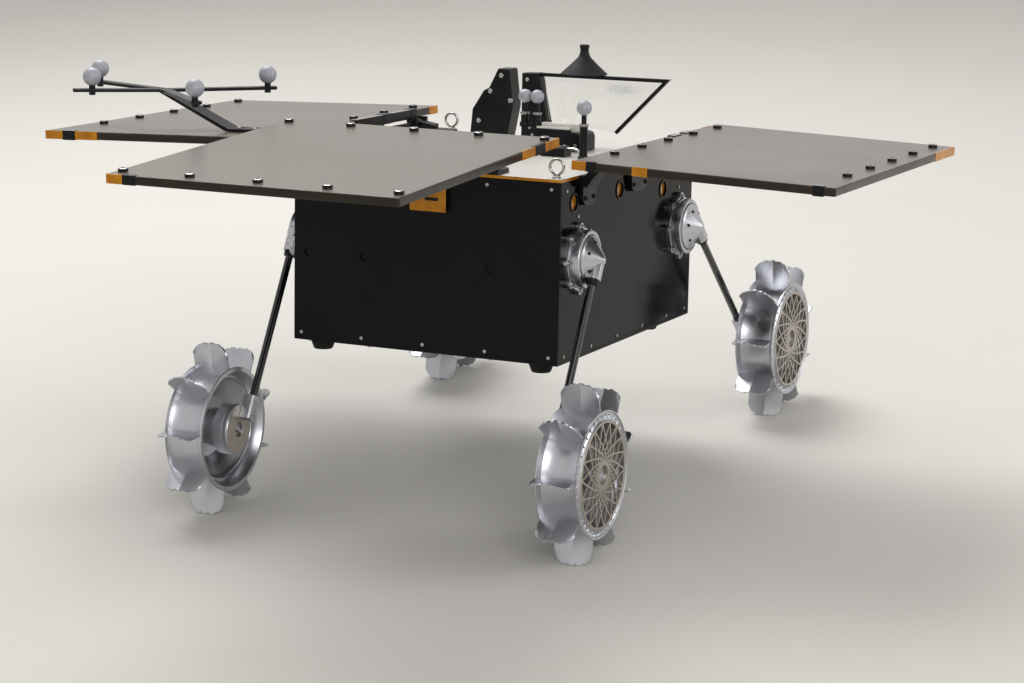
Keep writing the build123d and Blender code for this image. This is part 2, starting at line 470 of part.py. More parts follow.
def marker_tree():
    """Strap from the left panel's top up to four arms with a ball each."""
    left = PANELS[2]
    arm_z = DECK_Z + TREE_H
    near, bend = top_at(left, STRAP_NEAR) + SEAT, top_at(left, STRAP_BEND) + SEAT
    strap = [(-STRAP_NEAR, near), (-STRAP_BEND, bend), (-TREE_X, arm_z), (-TREE_X, arm_z + STRAP_T), (-STRAP_BEND + STRAP_T, bend + STRAP_T),
             (-STRAP_NEAR, near + STRAP_T)]
    tree = plate_xz(strap, TREE_Y - STRAP_W / 2, TREE_Y + STRAP_W / 2)
    for end in ARM_ENDS:
        dx, dy = TREE_X - end.x, end.y - TREE_Y
        reach = hypot(dx, dy) + ARM_END
        tree += Pos(-TREE_X, TREE_Y, arm_z + STRAP_T / 2) * Rot(0, 0, degrees(atan2(dy, dx))) * (Pos(reach / 2, 0, 0) * Box(reach, ARM_W, STRAP_T))
        tree += marker(-end.x, end.y, arm_z, DECK_Z + TREE_BALL_H, TREE_BALL_R)
    save("marker_tree", tree)


body()
shoulders_and_legs()
wheels()
panels()
deck_fittings()
marker_tree()
print(len(names), "nodes; pitch", round(PITCH, 3), "lift", round(BODY_LIFT, 3), "shift", round(BODY_SHIFT, 3),
      "axle y", [round(turned(*e)[0] + BODY_SHIFT, 3) for e in (FRONT_END, REAR_END)], "z", round(AXLE_Z, 3))
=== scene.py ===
"""Looks of a four-wheeled planetary rover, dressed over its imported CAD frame.

Pieces are modelled in millimetres, each in the frame of its own sub-assembly. Bench.fit()
then sets a piece in the row's frame, in metres, and lets it ride on its body.
"""
import json
import logging
from collections.abc import Callable, Iterable, Sequence
from dataclasses import dataclass
from enum import Enum
from math import atan2, cos, hypot, pi, radians, sin

import bmesh
import bpy
from mathutils import Matrix, Vector


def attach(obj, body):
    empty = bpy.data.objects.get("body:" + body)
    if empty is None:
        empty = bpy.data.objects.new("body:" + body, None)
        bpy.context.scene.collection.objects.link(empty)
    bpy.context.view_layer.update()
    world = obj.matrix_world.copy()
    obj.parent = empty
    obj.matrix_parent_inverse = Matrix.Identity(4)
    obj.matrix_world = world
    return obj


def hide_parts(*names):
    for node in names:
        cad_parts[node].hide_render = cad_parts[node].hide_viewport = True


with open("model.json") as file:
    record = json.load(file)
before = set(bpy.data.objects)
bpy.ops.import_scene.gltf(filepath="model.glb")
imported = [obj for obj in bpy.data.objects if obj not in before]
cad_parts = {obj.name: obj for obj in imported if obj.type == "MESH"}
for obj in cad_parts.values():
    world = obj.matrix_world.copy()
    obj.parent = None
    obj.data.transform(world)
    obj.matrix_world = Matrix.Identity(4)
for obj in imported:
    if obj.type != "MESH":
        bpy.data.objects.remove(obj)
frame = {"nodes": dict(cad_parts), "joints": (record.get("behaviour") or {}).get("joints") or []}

MM = 0.001
Piece = bpy.types.Object
Tree = bpy.types.NodeTree
Node = bpy.types.Node
Socket = bpy.types.NodeSocket
Spot = tuple[float, float, float]
Profile = Sequence[tuple[float, float]]
JOINTS = {joint["name"]: joint for joint in frame["joints"]}
log = logging.getLogger("rover")


def linear(colour: str) -> tuple[float, float, float, float]:
    """Turns an sRGB hex colour into linear values.

    Args:
        colour: colour as "#rrggbb".

    Returns:
        Red, green, blue and alpha.
    """
    shares = [int(colour[k:k + 2], 16) / 255 for k in (1, 3, 5)]
    return *(c / 12.92 if c <= 0.04045 else ((c + 0.055) / 1.055) ** 2.4 for c in shares), 1.0


def add_node(tree: Tree, kind: str, inputs: dict | None = None, **settings: object) -> Node:
    """Adds one shader node.

    Args:
        tree: node tree of a material or world.
        kind: node type after "ShaderNode".
        inputs: input name or index, with a value or the socket to link.
        settings: attributes of the node.

    Returns:
        The node.
    """
    node = tree.nodes.new("ShaderNode" + kind)
    for key, value in settings.items():
        setattr(node, key, value)
    for key, value in (inputs or {}).items():
        if isinstance(value, Socket):
            tree.links.new(value, node.inputs[key])
        else:
            node.inputs[key].default_value = value
    return node


def per_mm(size: float) -> float:
    """Texture scale that gives a pattern of this size in millimetres."""
    return 1 / (size * MM)


def rings_per_mm(spacing: float) -> float:
    """Scale of a wave texture with this spacing; it has 20 scale / 2 pi waves a metre."""
    return 2 * pi * per_mm(spacing) / 20


def bumped(tree: Tree, pattern: Socket, height: float, under: Socket | None = None) -> Socket:
    """Bumps a surface by a pattern, over another relief where there is one.

    Args:
        tree: the material's nodes.
        pattern: the pattern.
        height: of the pattern, in millimetres.
        under: normal of the relief below.

    Returns:
        The bumped normal.
    """
    inputs = {"Height": pattern, "Distance": height * MM}
    if under is not None:
        inputs["Normal"] = under
    return add_node(tree, "Bump", inputs).outputs["Normal"]


@dataclass(frozen=True)
class Finish:
    """A real surface: two colours that it drifts between, its gloss, and its grain.

    Attributes:
        name: the material's common name.
        colour: main colour, sRGB hex.
        tint: colour that it drifts to, sRGB hex.
        gloss: least and most roughness.
        metallic: share of bare metal.
        cloud: size of the drift in colour and gloss, in millimetres.
        grain: size of the fine relief, in millimetres.
        relief: height of the fine relief, in millimetres.
        coat: strength of a clear lacquer.
        shine: strength of the mirror-like share of a bare surface.
    """

    name: str
    colour: str
    tint: str
    gloss: tuple[float, float]
    metallic: float = 0.0
    cloud: float = 40.0
    grain: float = 1.0
    relief: float = 0.01
    coat: float = 0.0
    shine: float = 0.5

    def material(self) -> bpy.types.Material:
        """Gives the material, made on the first call."""
        made = bpy.data.materials.get(self.name)
        if made is None:
            made = bpy.data.materials.new(self.name)
            made.use_nodes = True
            made.diffuse_color = linear(self.colour)
            self.build(made.node_tree, made.node_tree.nodes["Principled BSDF"])
        return made

    def build(self, tree: Tree, shader: Node) -> None:
        """Wires drift, gloss and relief into the shader.

        Args:
            tree: the material's nodes.
            shader: its Principled shader.
        """
        place = add_node(tree, "TexCoord").outputs["Object"]
        drift = add_node(tree, "TexNoise",
                         {"Vector": place, "Scale": per_mm(self.cloud), "Detail": 5.0, "Roughness": 0.6})
        share = add_node(tree, "MapRange",
                         {"Value": drift.outputs["Fac"], "From Min": 0.35, "From Max": 0.68})
        colour = self.tone(tree, place, share.outputs["Result"])
        gloss = add_node(tree, "MapRange", {"Value": drift.outputs["Fac"], "From Min": 0.3, "From Max": 0.7,
                                            "To Min": self.gloss[0], "To Max": self.gloss[1]})
        tree.links.new(colour, shader.inputs["Base Color"])
        tree.links.new(gloss.outputs["Result"], shader.inputs["Roughness"])
        tree.links.new(self.normal(tree, place), shader.inputs["Normal"])
        shader.inputs["Metallic"].default_value = self.metallic
        shader.inputs["Coat Weight"].default_value = self.coat
        shader.inputs["Coat Roughness"].default_value = 0.06
        shader.inputs["Specular IOR Level"].default_value = self.shine

    def tone(self, tree: Tree, place: Socket, share: Socket) -> Socket:
        """Mixes the two colours by the drift.

        Args:
            tree: the material's nodes.
            place: coordinates on the piece.
            share: how much tint there is.

        Returns:
            The colour.
        """
        return add_node(tree, "Mix", {0: share, 6: linear(self.colour), 7: linear(self.tint)},
                        data_type="RGBA").outputs[2]

    def normal(self, tree: Tree, place: Socket) -> Socket:
        """Makes the fine relief.

        Args:
            tree: the material's nodes.
            place: coordinates on the piece.

        Returns:
            The bumped normal.
        """
        height = add_node(tree, "TexNoise",
                          {"Vector": place, "Scale": per_mm(self.grain), "Detail": 3.0}).outputs["Fac"]
        return bumped(tree, height, self.relief)


@dataclass(frozen=True)
class Turned(Finish):
    """Metal turned on a lathe: fine rings round the axle it was turned on.

    Attributes:
        centre: place (y, z) of that axle in the row's frame, in metres.
        ring: spacing of the rings, in millimetres.
    """

    centre: tuple[float, float] = (0.0, 0.0)
    ring: float = 2.0

    def normal(self, tree: Tree, place: Socket) -> Socket:
        """Adds the lathe's rings to the fine relief."""
        moved = add_node(tree, "Mapping",
                         {"Vector": place, "Location": (0.0, -self.centre[0], -self.centre[1])})
        wave = add_node(tree, "TexWave",
                        {"Vector": moved.outputs["Vector"], "Scale": rings_per_mm(self.ring),
                         "Distortion": 0.6, "Detail": 2.0}, wave_type="RINGS", rings_direction="X")
        return bumped(tree, wave.outputs["Fac"], self.relief, super().normal(tree, place))


@dataclass(frozen=True)
class Film(Finish):
    """Thin film stuck over a plate: soft wrinkles with sharper folds.

    Attributes:
        wrinkle: size of the wrinkles, in millimetres.
        fold: height of the wrinkles, in millimetres.
    """

    wrinkle: float = 24.0
    fold: float = 0.5

    def normal(self, tree: Tree, place: Socket) -> Socket:
        """Adds wrinkles to the fine relief."""
        soft = add_node(tree, "TexNoise",
                        {"Vector": place, "Scale": per_mm(self.wrinkle), "Detail": 2.0, "Distortion": 0.8})
        folds = add_node(tree, "TexVoronoi", {"Vector": soft.outputs["Color"], "Scale": 3.0},
                         feature="SMOOTH_F1")
        return bumped(tree, folds.outputs["Distance"], self.fold, super().normal(tree, place))


@dataclass(frozen=True)
class Speckled(Finish):
    """Surface with a fine fleck in its colour.

    Attributes:
        fleck: size of the flecks, in millimetres.
        fleck_colour: sRGB hex.
        amount: how strongly they show.
    """

    fleck: float = 1.4
    fleck_colour: str = "#ffffff"
    amount: float = 0.3

    def tone(self, tree: Tree, place: Socket, share: Socket) -> Socket:
        """Lays the flecks over the two colours."""
        fleck = add_node(tree, "TexNoise",
                         {"Vector": place, "Scale": per_mm(self.fleck), "Detail": 2.0, "Roughness": 0.7})
        amount = add_node(tree, "MapRange",
                          {"Value": fleck.outputs["Fac"], "From Min": 0.5, "From Max": 0.75,
                           "To Max": self.amount})
        base = super().tone(tree, place, share)
        return add_node(tree, "Mix", {0: amount.outputs["Result"], 6: base, 7: linear(self.fleck_colour)},
                        data_type="RGBA").outputs[2]


@dataclass(frozen=True)
class Woven(Speckled):
    """Flecked surface with a fine weave pressed into it.

    Attributes:
        pitch: spacing of the threads, in millimetres.
        thread: height of the threads, in millimetres.
    """

    pitch: float = 3.0
    thread: float = 0.006

    def normal(self, tree: Tree, place: Socket) -> Socket:
        """Adds two sets of crossing threads to the fine relief."""
        scale = rings_per_mm(self.pitch)
        across = add_node(tree, "TexWave", {"Vector": place, "Scale": scale},
                          bands_direction="X").outputs["Fac"]
        along = add_node(tree, "TexWave", {"Vector": place, "Scale": scale},
                         bands_direction="Y").outputs["Fac"]
        weave = add_node(tree, "Math", {0: across, 1: along}, operation="MAXIMUM").outputs[0]
        return bumped(tree, weave, self.thread, super().normal(tree, place))


@dataclass(frozen=True)
class Clear(Finish):
    """Clear sheet that light passes, with a milky spot painted in as a highlight.

    Attributes:
        highlight_middle: middle of the painted highlight in the row's frame, in metres.
        reach: its half width and half height, in millimetres.
    """

    highlight_middle: tuple[float, float, float] = (0.0, 0.0, 0.0)
    reach: tuple[float, float] = (40.0, 9.0)

    def build(self, tree: Tree, shader: Node) -> None:
        """Makes the surface let light through, at acrylic's index of refraction, except in the painted
        highlight, which stays milky white.
        """
        super().build(tree, shader)
        place = add_node(tree, "TexCoord").outputs["Object"]
        scale = (per_mm(self.reach[0]), 0.0, per_mm(self.reach[1]))
        shift = (-self.highlight_middle[0] * scale[0], 0.0, -self.highlight_middle[2] * scale[2])
        moved = add_node(tree, "Mapping",
                         {"Vector": place, "Location": shift, "Scale": scale}).outputs["Vector"]
        # Painted highlight: a milky spot, broken up by noise, that stands in for a glint on the pane.
        patch = add_node(tree, "TexGradient", {"Vector": moved}, gradient_type="SPHERICAL").outputs["Fac"]
        flecks = add_node(tree, "TexNoise",
                          {"Vector": place, "Scale": per_mm(5.0), "Detail": 6.0,
                           "Roughness": 0.7}).outputs["Fac"]
        both = add_node(tree, "Math", {0: patch, 1: flecks}, operation="MULTIPLY").outputs[0]
        clear = add_node(tree, "MapRange",
                         {"Value": both, "From Min": 0.2, "From Max": 0.45, "To Min": 1.0,
                          "To Max": 0.45}).outputs["Result"]
        tree.links.new(clear, shader.inputs["Transmission Weight"])
        shader.inputs["IOR"].default_value = 1.49


# Black composite skin under lacquer: the eye sees deep gloss with slow waves in what it mirrors.
LACQUER = Finish("lacquered_black_composite", "#08080a", "#0e0b0a", (0.12, 0.18), cloud=90, grain=60,
                 relief=0.04, shine=0.08)
# The same skin rubbed down in front: soft, even, nearly matt.
RUBBED = Finish("rubbed_black_composite", "#08080b", "#0d0d10", (0.36, 0.44), cloud=80, grain=0.8,
                relief=0.006, shine=0.16)
# Black anodised brackets and blocks: dark grey with a dry sheen.
ANODISED = Finish("black_anodised_aluminium", "#101012", "#18181b", (0.3, 0.42), metallic=0.4, cloud=24,
                  grain=0.6, relief=0.006, shine=0.35)
# Aluminised film on the deck: bright and silvery, wrinkled where it is stuck down.
SILVER_FILM = Film("aluminised_polyimide_film", "#e6e3de", "#d8d4cc", (0.34, 0.44), metallic=0.65, cloud=60,
                   grain=2.0, relief=0.004, wrinkle=45, fold=0.6)
# Amber polyimide tape: honey-coloured, glossy, browner where it is doubled.
AMBER_TAPE = Film("amber_polyimide_tape", "#d08c14", "#a8660c", (0.14, 0.24), metallic=0.4, cloud=26,
                  grain=1.5, relief=0.004, wrinkle=14, fold=0.1)
# Edges of the solar plates: nearly black brown, drifting to a darker brown at random.
DARK_BROWN_EDGE = Film("smoked_polyimide_tape", "#2b1d10", "#120e0a", (0.2, 0.3), metallic=0.2, cloud=60,
                   grain=1.5, relief=0.004, wrinkle=14, fold=0.1)
# Solar plate's face: dark taupe, satin, with a fine weave and flecks.
CELL_FACE = Woven("textured_cell_plate", "#7c7369", "#736b61", (0.24, 0.3), metallic=0.6, cloud=260,
                  grain=1.2, relief=0.003, fleck=1.6, fleck_colour="#948a7d", amount=0.22)
# Underside of the solar plates: dark laminate, dull.
LAMINATE = Finish("dark_fibre_laminate", "#191715", "#211e1c", (0.4, 0.55), cloud=30, grain=1.2,
                  relief=0.01)
# Gloss black tube of the legs: narrow bright lines along it.
TUBE_BLACK = Finish("gloss_black_tube", "#09090b", "#0f0f12", (0.08, 0.14), cloud=25, grain=3.0,
                    relief=0.004, coat=0.4)
# Stainless screws and lifting eyes: neutral grey, fairly bright.
STEEL = Finish("stainless_steel", "#bab8b4", "#aba8a3", (0.2, 0.28), metallic=1.0, cloud=12, grain=0.8,
               relief=0.003)
# Rolled aluminium sheet of treads and grousers: satin, with slow smudges.
ROLLED = Finish("rolled_aluminium_sheet", "#c2c3c8", "#b8b9bf", (0.3, 0.37), metallic=1.0, cloud=60,
                grain=2.5, relief=0.002)
# Blasted aluminium of the wheel's lattice: bronze-grey, duller than turned metal.
BLASTED = Finish("blasted_aluminium", "#b9b2a8", "#a9a299", (0.36, 0.44), metallic=0.85, cloud=14,
                 grain=0.6, relief=0.008)
# Film of fine glass beads on the marker balls: pale grey, without a sharp highlight.
BEADED = Speckled("glass_bead_film", "#a4a6ae", "#989aa3", (0.4, 0.5), metallic=0.15, cloud=12, grain=0.6,
                  relief=0.02, fleck=0.8, fleck_colour="#cfd1d6", amount=0.4)
# Clear acrylic pane, with a highlight painted as a milky spot below its top edge.
ACRYLIC = Clear("clear_acrylic", "#ffffff", "#fbfdfc", (0.0, 0.03), cloud=30, grain=4.0, relief=0.001,
                highlight_middle=(0.1135, 0.2, 0.466), reach=(46.0, 13.0))
# Black rubber boots and grommets: dead matt.
RUBBER = Finish("black_rubber", "#0e0e0f", "#161617", (0.6, 0.72), cloud=14, grain=0.8, relief=0.02,
                shine=0.3)
# Strips on the equipment box: real parts, painted white for the highlights that their lit metal shows.
STRIP_WHITE_HIGHLIGHT = Finish("white_moulded_plastic", "#e2e0da", "#d5d2ca", (0.28, 0.4), cloud=16, grain=0.8,
                       relief=0.01)
# Drawn aluminium pipe.
PIPE_METAL = Finish("drawn_aluminium_pipe", "#d3d3d1", "#bfbfbc", (0.16, 0.26), metallic=1.0, cloud=8,
                    grain=0.8, relief=0.008)


class Slot(Enum):
    """Material slots of the record, passed along with the pieces."""

    SKIN = "black_skin"
    DECK = "deck"
    PANE = "clear_pane"
    STEEL = "steel"
    MARKER = "marker"
    AMBER = "amber_bracket"
    CELLS = "cell_plate"
    METAL = "machined_aluminium"
    TUBE = "black_tube"


class Aim(Enum):
    """Way that a fastener's head looks, in the frame it is set in."""

    UP = (0.0, 0.0, 1.0)
    DOWN = (0.0, 0.0, -1.0)
    FRONT = (0.0, -1.0, 0.0)
    REAR = (0.0, 1.0, 0.0)
    RIGHT = (1.0, 0.0, 0.0)
    LEFT = (-1.0, 0.0, 0.0)

    def at(self, x: float, y: float, z: float) -> Matrix:
        """Gives the place of a fastener whose seat is at x, y, z."""
        return set_along(Vector((x, y, z)), Vector(self.value))

    def stood_at(self, x: float, y: float, z: float) -> Matrix:
        """Gives the place of a shape turned round X that stands on x, y, z."""
        return self.at(x, y, z) @ Matrix.Rotation(-pi / 2, 4, "Y")


class Parts(Enum):
    """What an edit selects."""

    VERT = "VERT"
    EDGE = "EDGE"
    FACE = "FACE"


def set_along(place: Vector, way: Vector) -> Matrix:
    """Gives the matrix that sets a piece made upright at a place, along a way."""
    return Matrix.Translation(place) @ way.to_track_quat("Z", "Y").to_matrix().to_4x4()


def about_x(angle: float) -> Matrix:
    """Gives a turn about X by an angle in degrees."""
    return Matrix.Rotation(radians(angle), 4, "X")


def choose(*pieces: Piece) -> None:
    """Selects these pieces only, and makes the first one active."""
    bpy.ops.object.select_all(action="DESELECT")
    for piece in pieces:
        piece.select_set(True)
    bpy.context.view_layer.objects.active = pieces[0]


class Edit:
    """Edit mode on one piece, for the length of a with block."""

    def __init__(self, piece: Piece, parts: Parts = Parts.FACE) -> None:
        """Takes the piece and what is to be selected in it."""
        self.piece = piece
        self.parts = parts

    def __enter__(self) -> "Edit":
        """Opens edit mode with nothing selected."""
        choose(self.piece)
        bpy.ops.object.mode_set(mode="EDIT")
        bpy.ops.mesh.select_mode(type=self.parts.value)
        bpy.ops.mesh.select_all(action="DESELECT")
        return self

    def __exit__(self, *_: object) -> None:
        """Goes back to object mode."""
        bpy.ops.object.mode_set(mode="OBJECT")

    def pick(self, test: Callable[[Vector, Vector], bool]) -> None:
        """Selects what passes a test.

        Args:
            test: takes a middle and a normal, or an edge's direction.
        """
        bpy.ops.mesh.select_all(action="DESELECT")
        shape = bmesh.from_edit_mesh(self.piece.data)
        if self.parts is Parts.FACE:
            chosen = [face for face in shape.faces if test(face.calc_center_median(), face.normal)]
        elif self.parts is Parts.EDGE:
            chosen = [edge for edge in shape.edges
                      if test((edge.verts[0].co + edge.verts[1].co) / 2,
                              (edge.verts[1].co - edge.verts[0].co).normalized())]
        else:
            chosen = [vert for vert in shape.verts if test(vert.co, vert.normal)]
        for item in chosen:
            item.select_set(True)
        shape.select_flush_mode()
        bmesh.update_edit_mesh(self.piece.data)


class Bench:
    """Modelling bench: makes, shapes, copies and fits pieces."""

    @staticmethod
    def settle(piece: Piece) -> Piece:
        """Applies a piece's place, turn and size to its mesh."""
        choose(piece)
        bpy.ops.object.transform_apply(location=True, rotation=True, scale=True)
        return piece

    @staticmethod
    def moved(piece: Piece, place: Matrix) -> Piece:
        """Moves a piece's mesh by a matrix."""
        piece.matrix_world = place @ piece.matrix_world
        return Bench.settle(piece)

    @staticmethod
    def block(low: Spot, high: Spot) -> Piece:
        """Makes a block between two corners."""
        bpy.ops.mesh.primitive_cube_add(size=1.0, location=[(a + b) / 2 for a, b in zip(low, high)])
        bpy.context.object.scale = [b - a for a, b in zip(low, high)]
        return Bench.settle(bpy.context.object)

    @staticmethod
    def rod(radius: float, start: Spot, end: Spot, steps: int = 40) -> Piece:
        """Makes a round bar between two points.

        Args:
            radius: of the bar.
            start: middle of one end.
            end: middle of the other.
            steps: flats round it.

        Returns:
            The bar.
        """
        way = Vector(end) - Vector(start)
        bpy.ops.mesh.primitive_cylinder_add(vertices=steps, radius=radius, depth=way.length)
        return Bench.moved(bpy.context.object, set_along((Vector(start) + Vector(end)) / 2, way))

    @staticmethod
    def ball(radius: float, centre: Spot) -> Piece:
        """Makes a ball."""
        bpy.ops.mesh.primitive_uv_sphere_add(segments=40, ring_count=24, radius=radius, location=centre)
        return Bench.settle(bpy.context.object)

    @staticmethod
    def turned(profile: Profile, steps: int = 96, hollow: bool = True) -> Piece:
        """Makes a shape round X by pulling a circle from point to point.

        Args:
            profile: points (x, radius), in order.
            steps: flats round the shape.
            hollow: whether the last point leads back to the first; if not, both ends are closed.

        Returns:
            The shape.
        """
        x, radius = profile[0]
        bpy.ops.mesh.primitive_circle_add(vertices=steps, radius=radius, location=(x, 0, 0),
                                          rotation=(0, pi / 2, 0),
                                          fill_type="NOTHING" if hollow else "NGON")
        piece = Bench.settle(bpy.context.object)
        with Edit(piece, Parts.EDGE):
            bpy.ops.mesh.select_all(action="SELECT")
            for next_x, next_radius in [*profile[1:], *(profile[:1] if hollow else [])]:
                bpy.ops.mesh.extrude_edges_move(TRANSFORM_OT_translate={"value": (next_x - x, 0, 0)})
                share = next_radius / radius
                bpy.ops.transform.resize(value=(1, share, share), center_override=(0, 0, 0))
                x, radius = next_x, next_radius
            if not hollow:
                bpy.ops.mesh.edge_face_add()
            bpy.ops.mesh.select_all(action="SELECT")
            bpy.ops.mesh.remove_doubles(threshold=0.001)
            bpy.ops.mesh.normals_make_consistent(inside=False)
        return piece

    @staticmethod
    def plate(outline: Sequence[Spot], pull: Spot) -> Piece:
        """Draws a flat outline point by point, and pulls it to a plate.

        Args:
            outline: corners, in order.
            pull: way and thickness of the pull.

        Returns:
            The plate.
        """
        bpy.ops.mesh.primitive_plane_add(size=1.0, location=outline[0])
        piece = Bench.settle(bpy.context.object)
        with Edit(piece, Parts.VERT):
            bpy.ops.mesh.select_all(action="SELECT")
            bpy.ops.mesh.merge(type="CENTER")
            for start, end in zip(outline, outline[1:]):
                step = [b - a for a, b in zip(start, end)]
                bpy.ops.mesh.extrude_vertices_move(TRANSFORM_OT_translate={"value": step})
            bpy.ops.mesh.select_all(action="SELECT")
            bpy.ops.mesh.edge_face_add()
            bpy.ops.mesh.select_all(action="SELECT")
            bpy.ops.mesh.extrude_region_move(TRANSFORM_OT_translate={"value": pull})
            bpy.ops.mesh.select_all(action="SELECT")
            bpy.ops.mesh.normals_make_consistent(inside=False)
        return piece

    @staticmethod
    def from_cad(node: str, pose: Matrix) -> Piece:
        """Copies a CAD node's mesh into a frame of this file, with its loose triangles merged.

        Args:
            node: the node's name.
            pose: matrix from that frame to the row's.

        Returns:
            The copy.
        """
        source = frame["nodes"][node]
        piece = bpy.data.objects.new("copy", source.data.copy())
        bpy.context.collection.objects.link(piece)
        Bench.moved(piece, pose.inverted())
        with Edit(piece, Parts.VERT):
            bpy.ops.mesh.select_all(action="SELECT")
            bpy.ops.mesh.remove_doubles(threshold=0.005)
            bpy.ops.mesh.dissolve_limited(angle_limit=radians(1))
        return piece

    @staticmethod
    def apply(piece: Piece, kind: str, **settings: object) -> Piece:
        """Adds a modifier and applies it."""
        modifier = piece.modifiers.new(kind, kind)
        for key, value in settings.items():
            setattr(modifier, key, value)
        choose(piece)
        bpy.ops.object.modifier_apply(modifier=modifier.name)
        return piece

    @staticmethod
    def eased(piece: Piece, width: float, segments: int = 2, angle: float = 32) -> Piece:
        """Rounds a piece's sharp edges.

        Args:
            piece: the piece.
            width: of the rounding.
            segments: of the rounding.
            angle: edges sharper than this many degrees are rounded.

        Returns:
            The piece.
        """
        return Bench.apply(piece, "BEVEL", width=width, segments=segments, limit_method="ANGLE",
                           angle_limit=radians(angle))

    @staticmethod
    def cut(piece: Piece, *cutters: Piece) -> Piece:
        """Takes the cutters out of a piece, and puts them away."""
        for cutter in cutters:
            Bench.apply(piece, "BOOLEAN", operation="DIFFERENCE", solver="EXACT", object=cutter)
            bpy.data.objects.remove(cutter)
        return piece

    @staticmethod
    def twin(piece: Piece) -> Piece:
        """Copies a piece with a mesh of its own."""
        copy = piece.copy()
        copy.data = piece.data.copy()
        bpy.context.collection.objects.link(copy)
        return copy

    @staticmethod
    def joined(pieces: Sequence[Piece]) -> Piece:
        """Joins pieces into the first one."""
        if len(pieces) > 1:
            choose(*pieces)
            bpy.ops.object.join()
        return pieces[0]

    @staticmethod
    def dressed(piece: Piece, finish: Finish) -> Piece:
        """Gives a whole piece one finish."""
        piece.data.materials.clear()
        piece.data.materials.append(finish.material())
        return piece

    @staticmethod
    def finished(piece: Piece, easing: float, finish: Finish) -> Piece:
        """Rounds a piece's edges and gives it one finish."""
        return Bench.dressed(Bench.eased(piece, easing), finish)

    @staticmethod
    def redressed(piece: Piece, finish: Finish, test: Callable[[Vector, Vector], bool]) -> Piece:
        """Gives the faces that pass a test another finish."""
        piece.data.materials.append(finish.material())
        with Edit(piece) as edit:
            edit.pick(test)
            piece.active_material_index = len(piece.data.materials) - 1
            bpy.ops.object.material_slot_assign()
        return piece

    @staticmethod
    def repeated(master: Piece, places: Iterable[Matrix], finish: Finish) -> Piece:
        """Sets copies of a piece at many places, and joins them.

        Args:
            master: the piece, made at the origin; it is used up.
            places: one matrix for each copy.
            finish: of them all.

        Returns:
            The joined copies.
        """
        copies = []
        for place in places:
            copy = Bench.twin(master)
            copy.matrix_world = place @ master.matrix_world
            copies.append(copy)
        bpy.data.objects.remove(master)
        whole = Bench.settle(Bench.joined(copies))
        return Bench.dressed(whole, finish)

    @staticmethod
    def fit(parts: Sequence[Piece], name: str, body: str, slot: Slot, pose: Matrix,
            stands_for: Sequence[str] = (), smooth: float = 35) -> Piece:
        """Joins parts into a finished piece, sets it in the row's frame, and lets it ride.

        Args:
            parts: dressed parts, in millimetres, in the frame that pose sets out.
            name: of the piece.
            body: CAD body that it rides on.
            slot: the record's material slot; not used.
            pose: matrix from the parts' frame to the row's.
            stands_for: CAD nodes that it replaces.
            smooth: edges below this angle are shaded smooth.

        Returns:
            The piece.
        """
        piece = Bench.moved(Bench.joined(parts), pose)
        if pose.determinant() < 0:
            with Edit(piece):
                bpy.ops.mesh.select_all(action="SELECT")
                bpy.ops.mesh.normals_make_consistent(inside=False)
        choose(piece)
        bpy.ops.object.shade_smooth_by_angle(angle=radians(smooth))
        Bench.apply(piece, "WEIGHTED_NORMAL", keep_sharp=True)
        piece.name = name
        piece.data.name = name
        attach(piece, body)
        if stands_for:
            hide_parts(*stands_for)
        log.info("%s rides on %s, %d faces", name, body, len(piece.data.polygons))
        return piece


@dataclass(frozen=True)
class Screw:
    """Round-headed screw with a hexagon socket, standing upright on the origin.

    Attributes:
        radius: of the head.
        height: of the head.
    """

    radius: float = 2.7
    height: float = 1.7

    def made(self) -> Piece:
        """Models one head."""
        head = Bench.rod(self.radius, (0, 0, -0.3), (0, 0, self.height), 18)
        with Edit(head, Parts.EDGE) as edit:
            edit.pick(lambda middle, way: middle.z > self.height - 0.01)
            bpy.ops.mesh.bevel(offset=self.height * 0.35, segments=2, affect="EDGES")
        with Edit(head) as edit:
            edit.pick(lambda middle, normal: normal.z > 0.99)
            bpy.ops.mesh.inset(thickness=self.radius * 0.34)
            bpy.ops.mesh.extrude_region_move(TRANSFORM_OT_translate={"value": (0, 0, -self.height * 0.5)})
        return head

    def row(self, places: Iterable[Matrix], finish: Finish = STEEL) -> Piece:
        """Sets heads at many places."""
        return Bench.repeated(self.made(), places, finish)


@dataclass(frozen=True)
class Corner:
    """One corner of the rover.

    Attributes:
        name: as in the nodes' names.
        side: 1 on the right, -1 on the left.
        end: 1 behind, -1 in front.
        spread: the leg's angle off the body's vertical, in degrees.
    """

    name: str
    side: int
    end: int
    spread: float

    @property
    def mirror(self) -> Matrix:
        """Turns a right-hand shape into one for this side."""
        return Matrix.Scale(self.side, 4, (1, 0, 0))


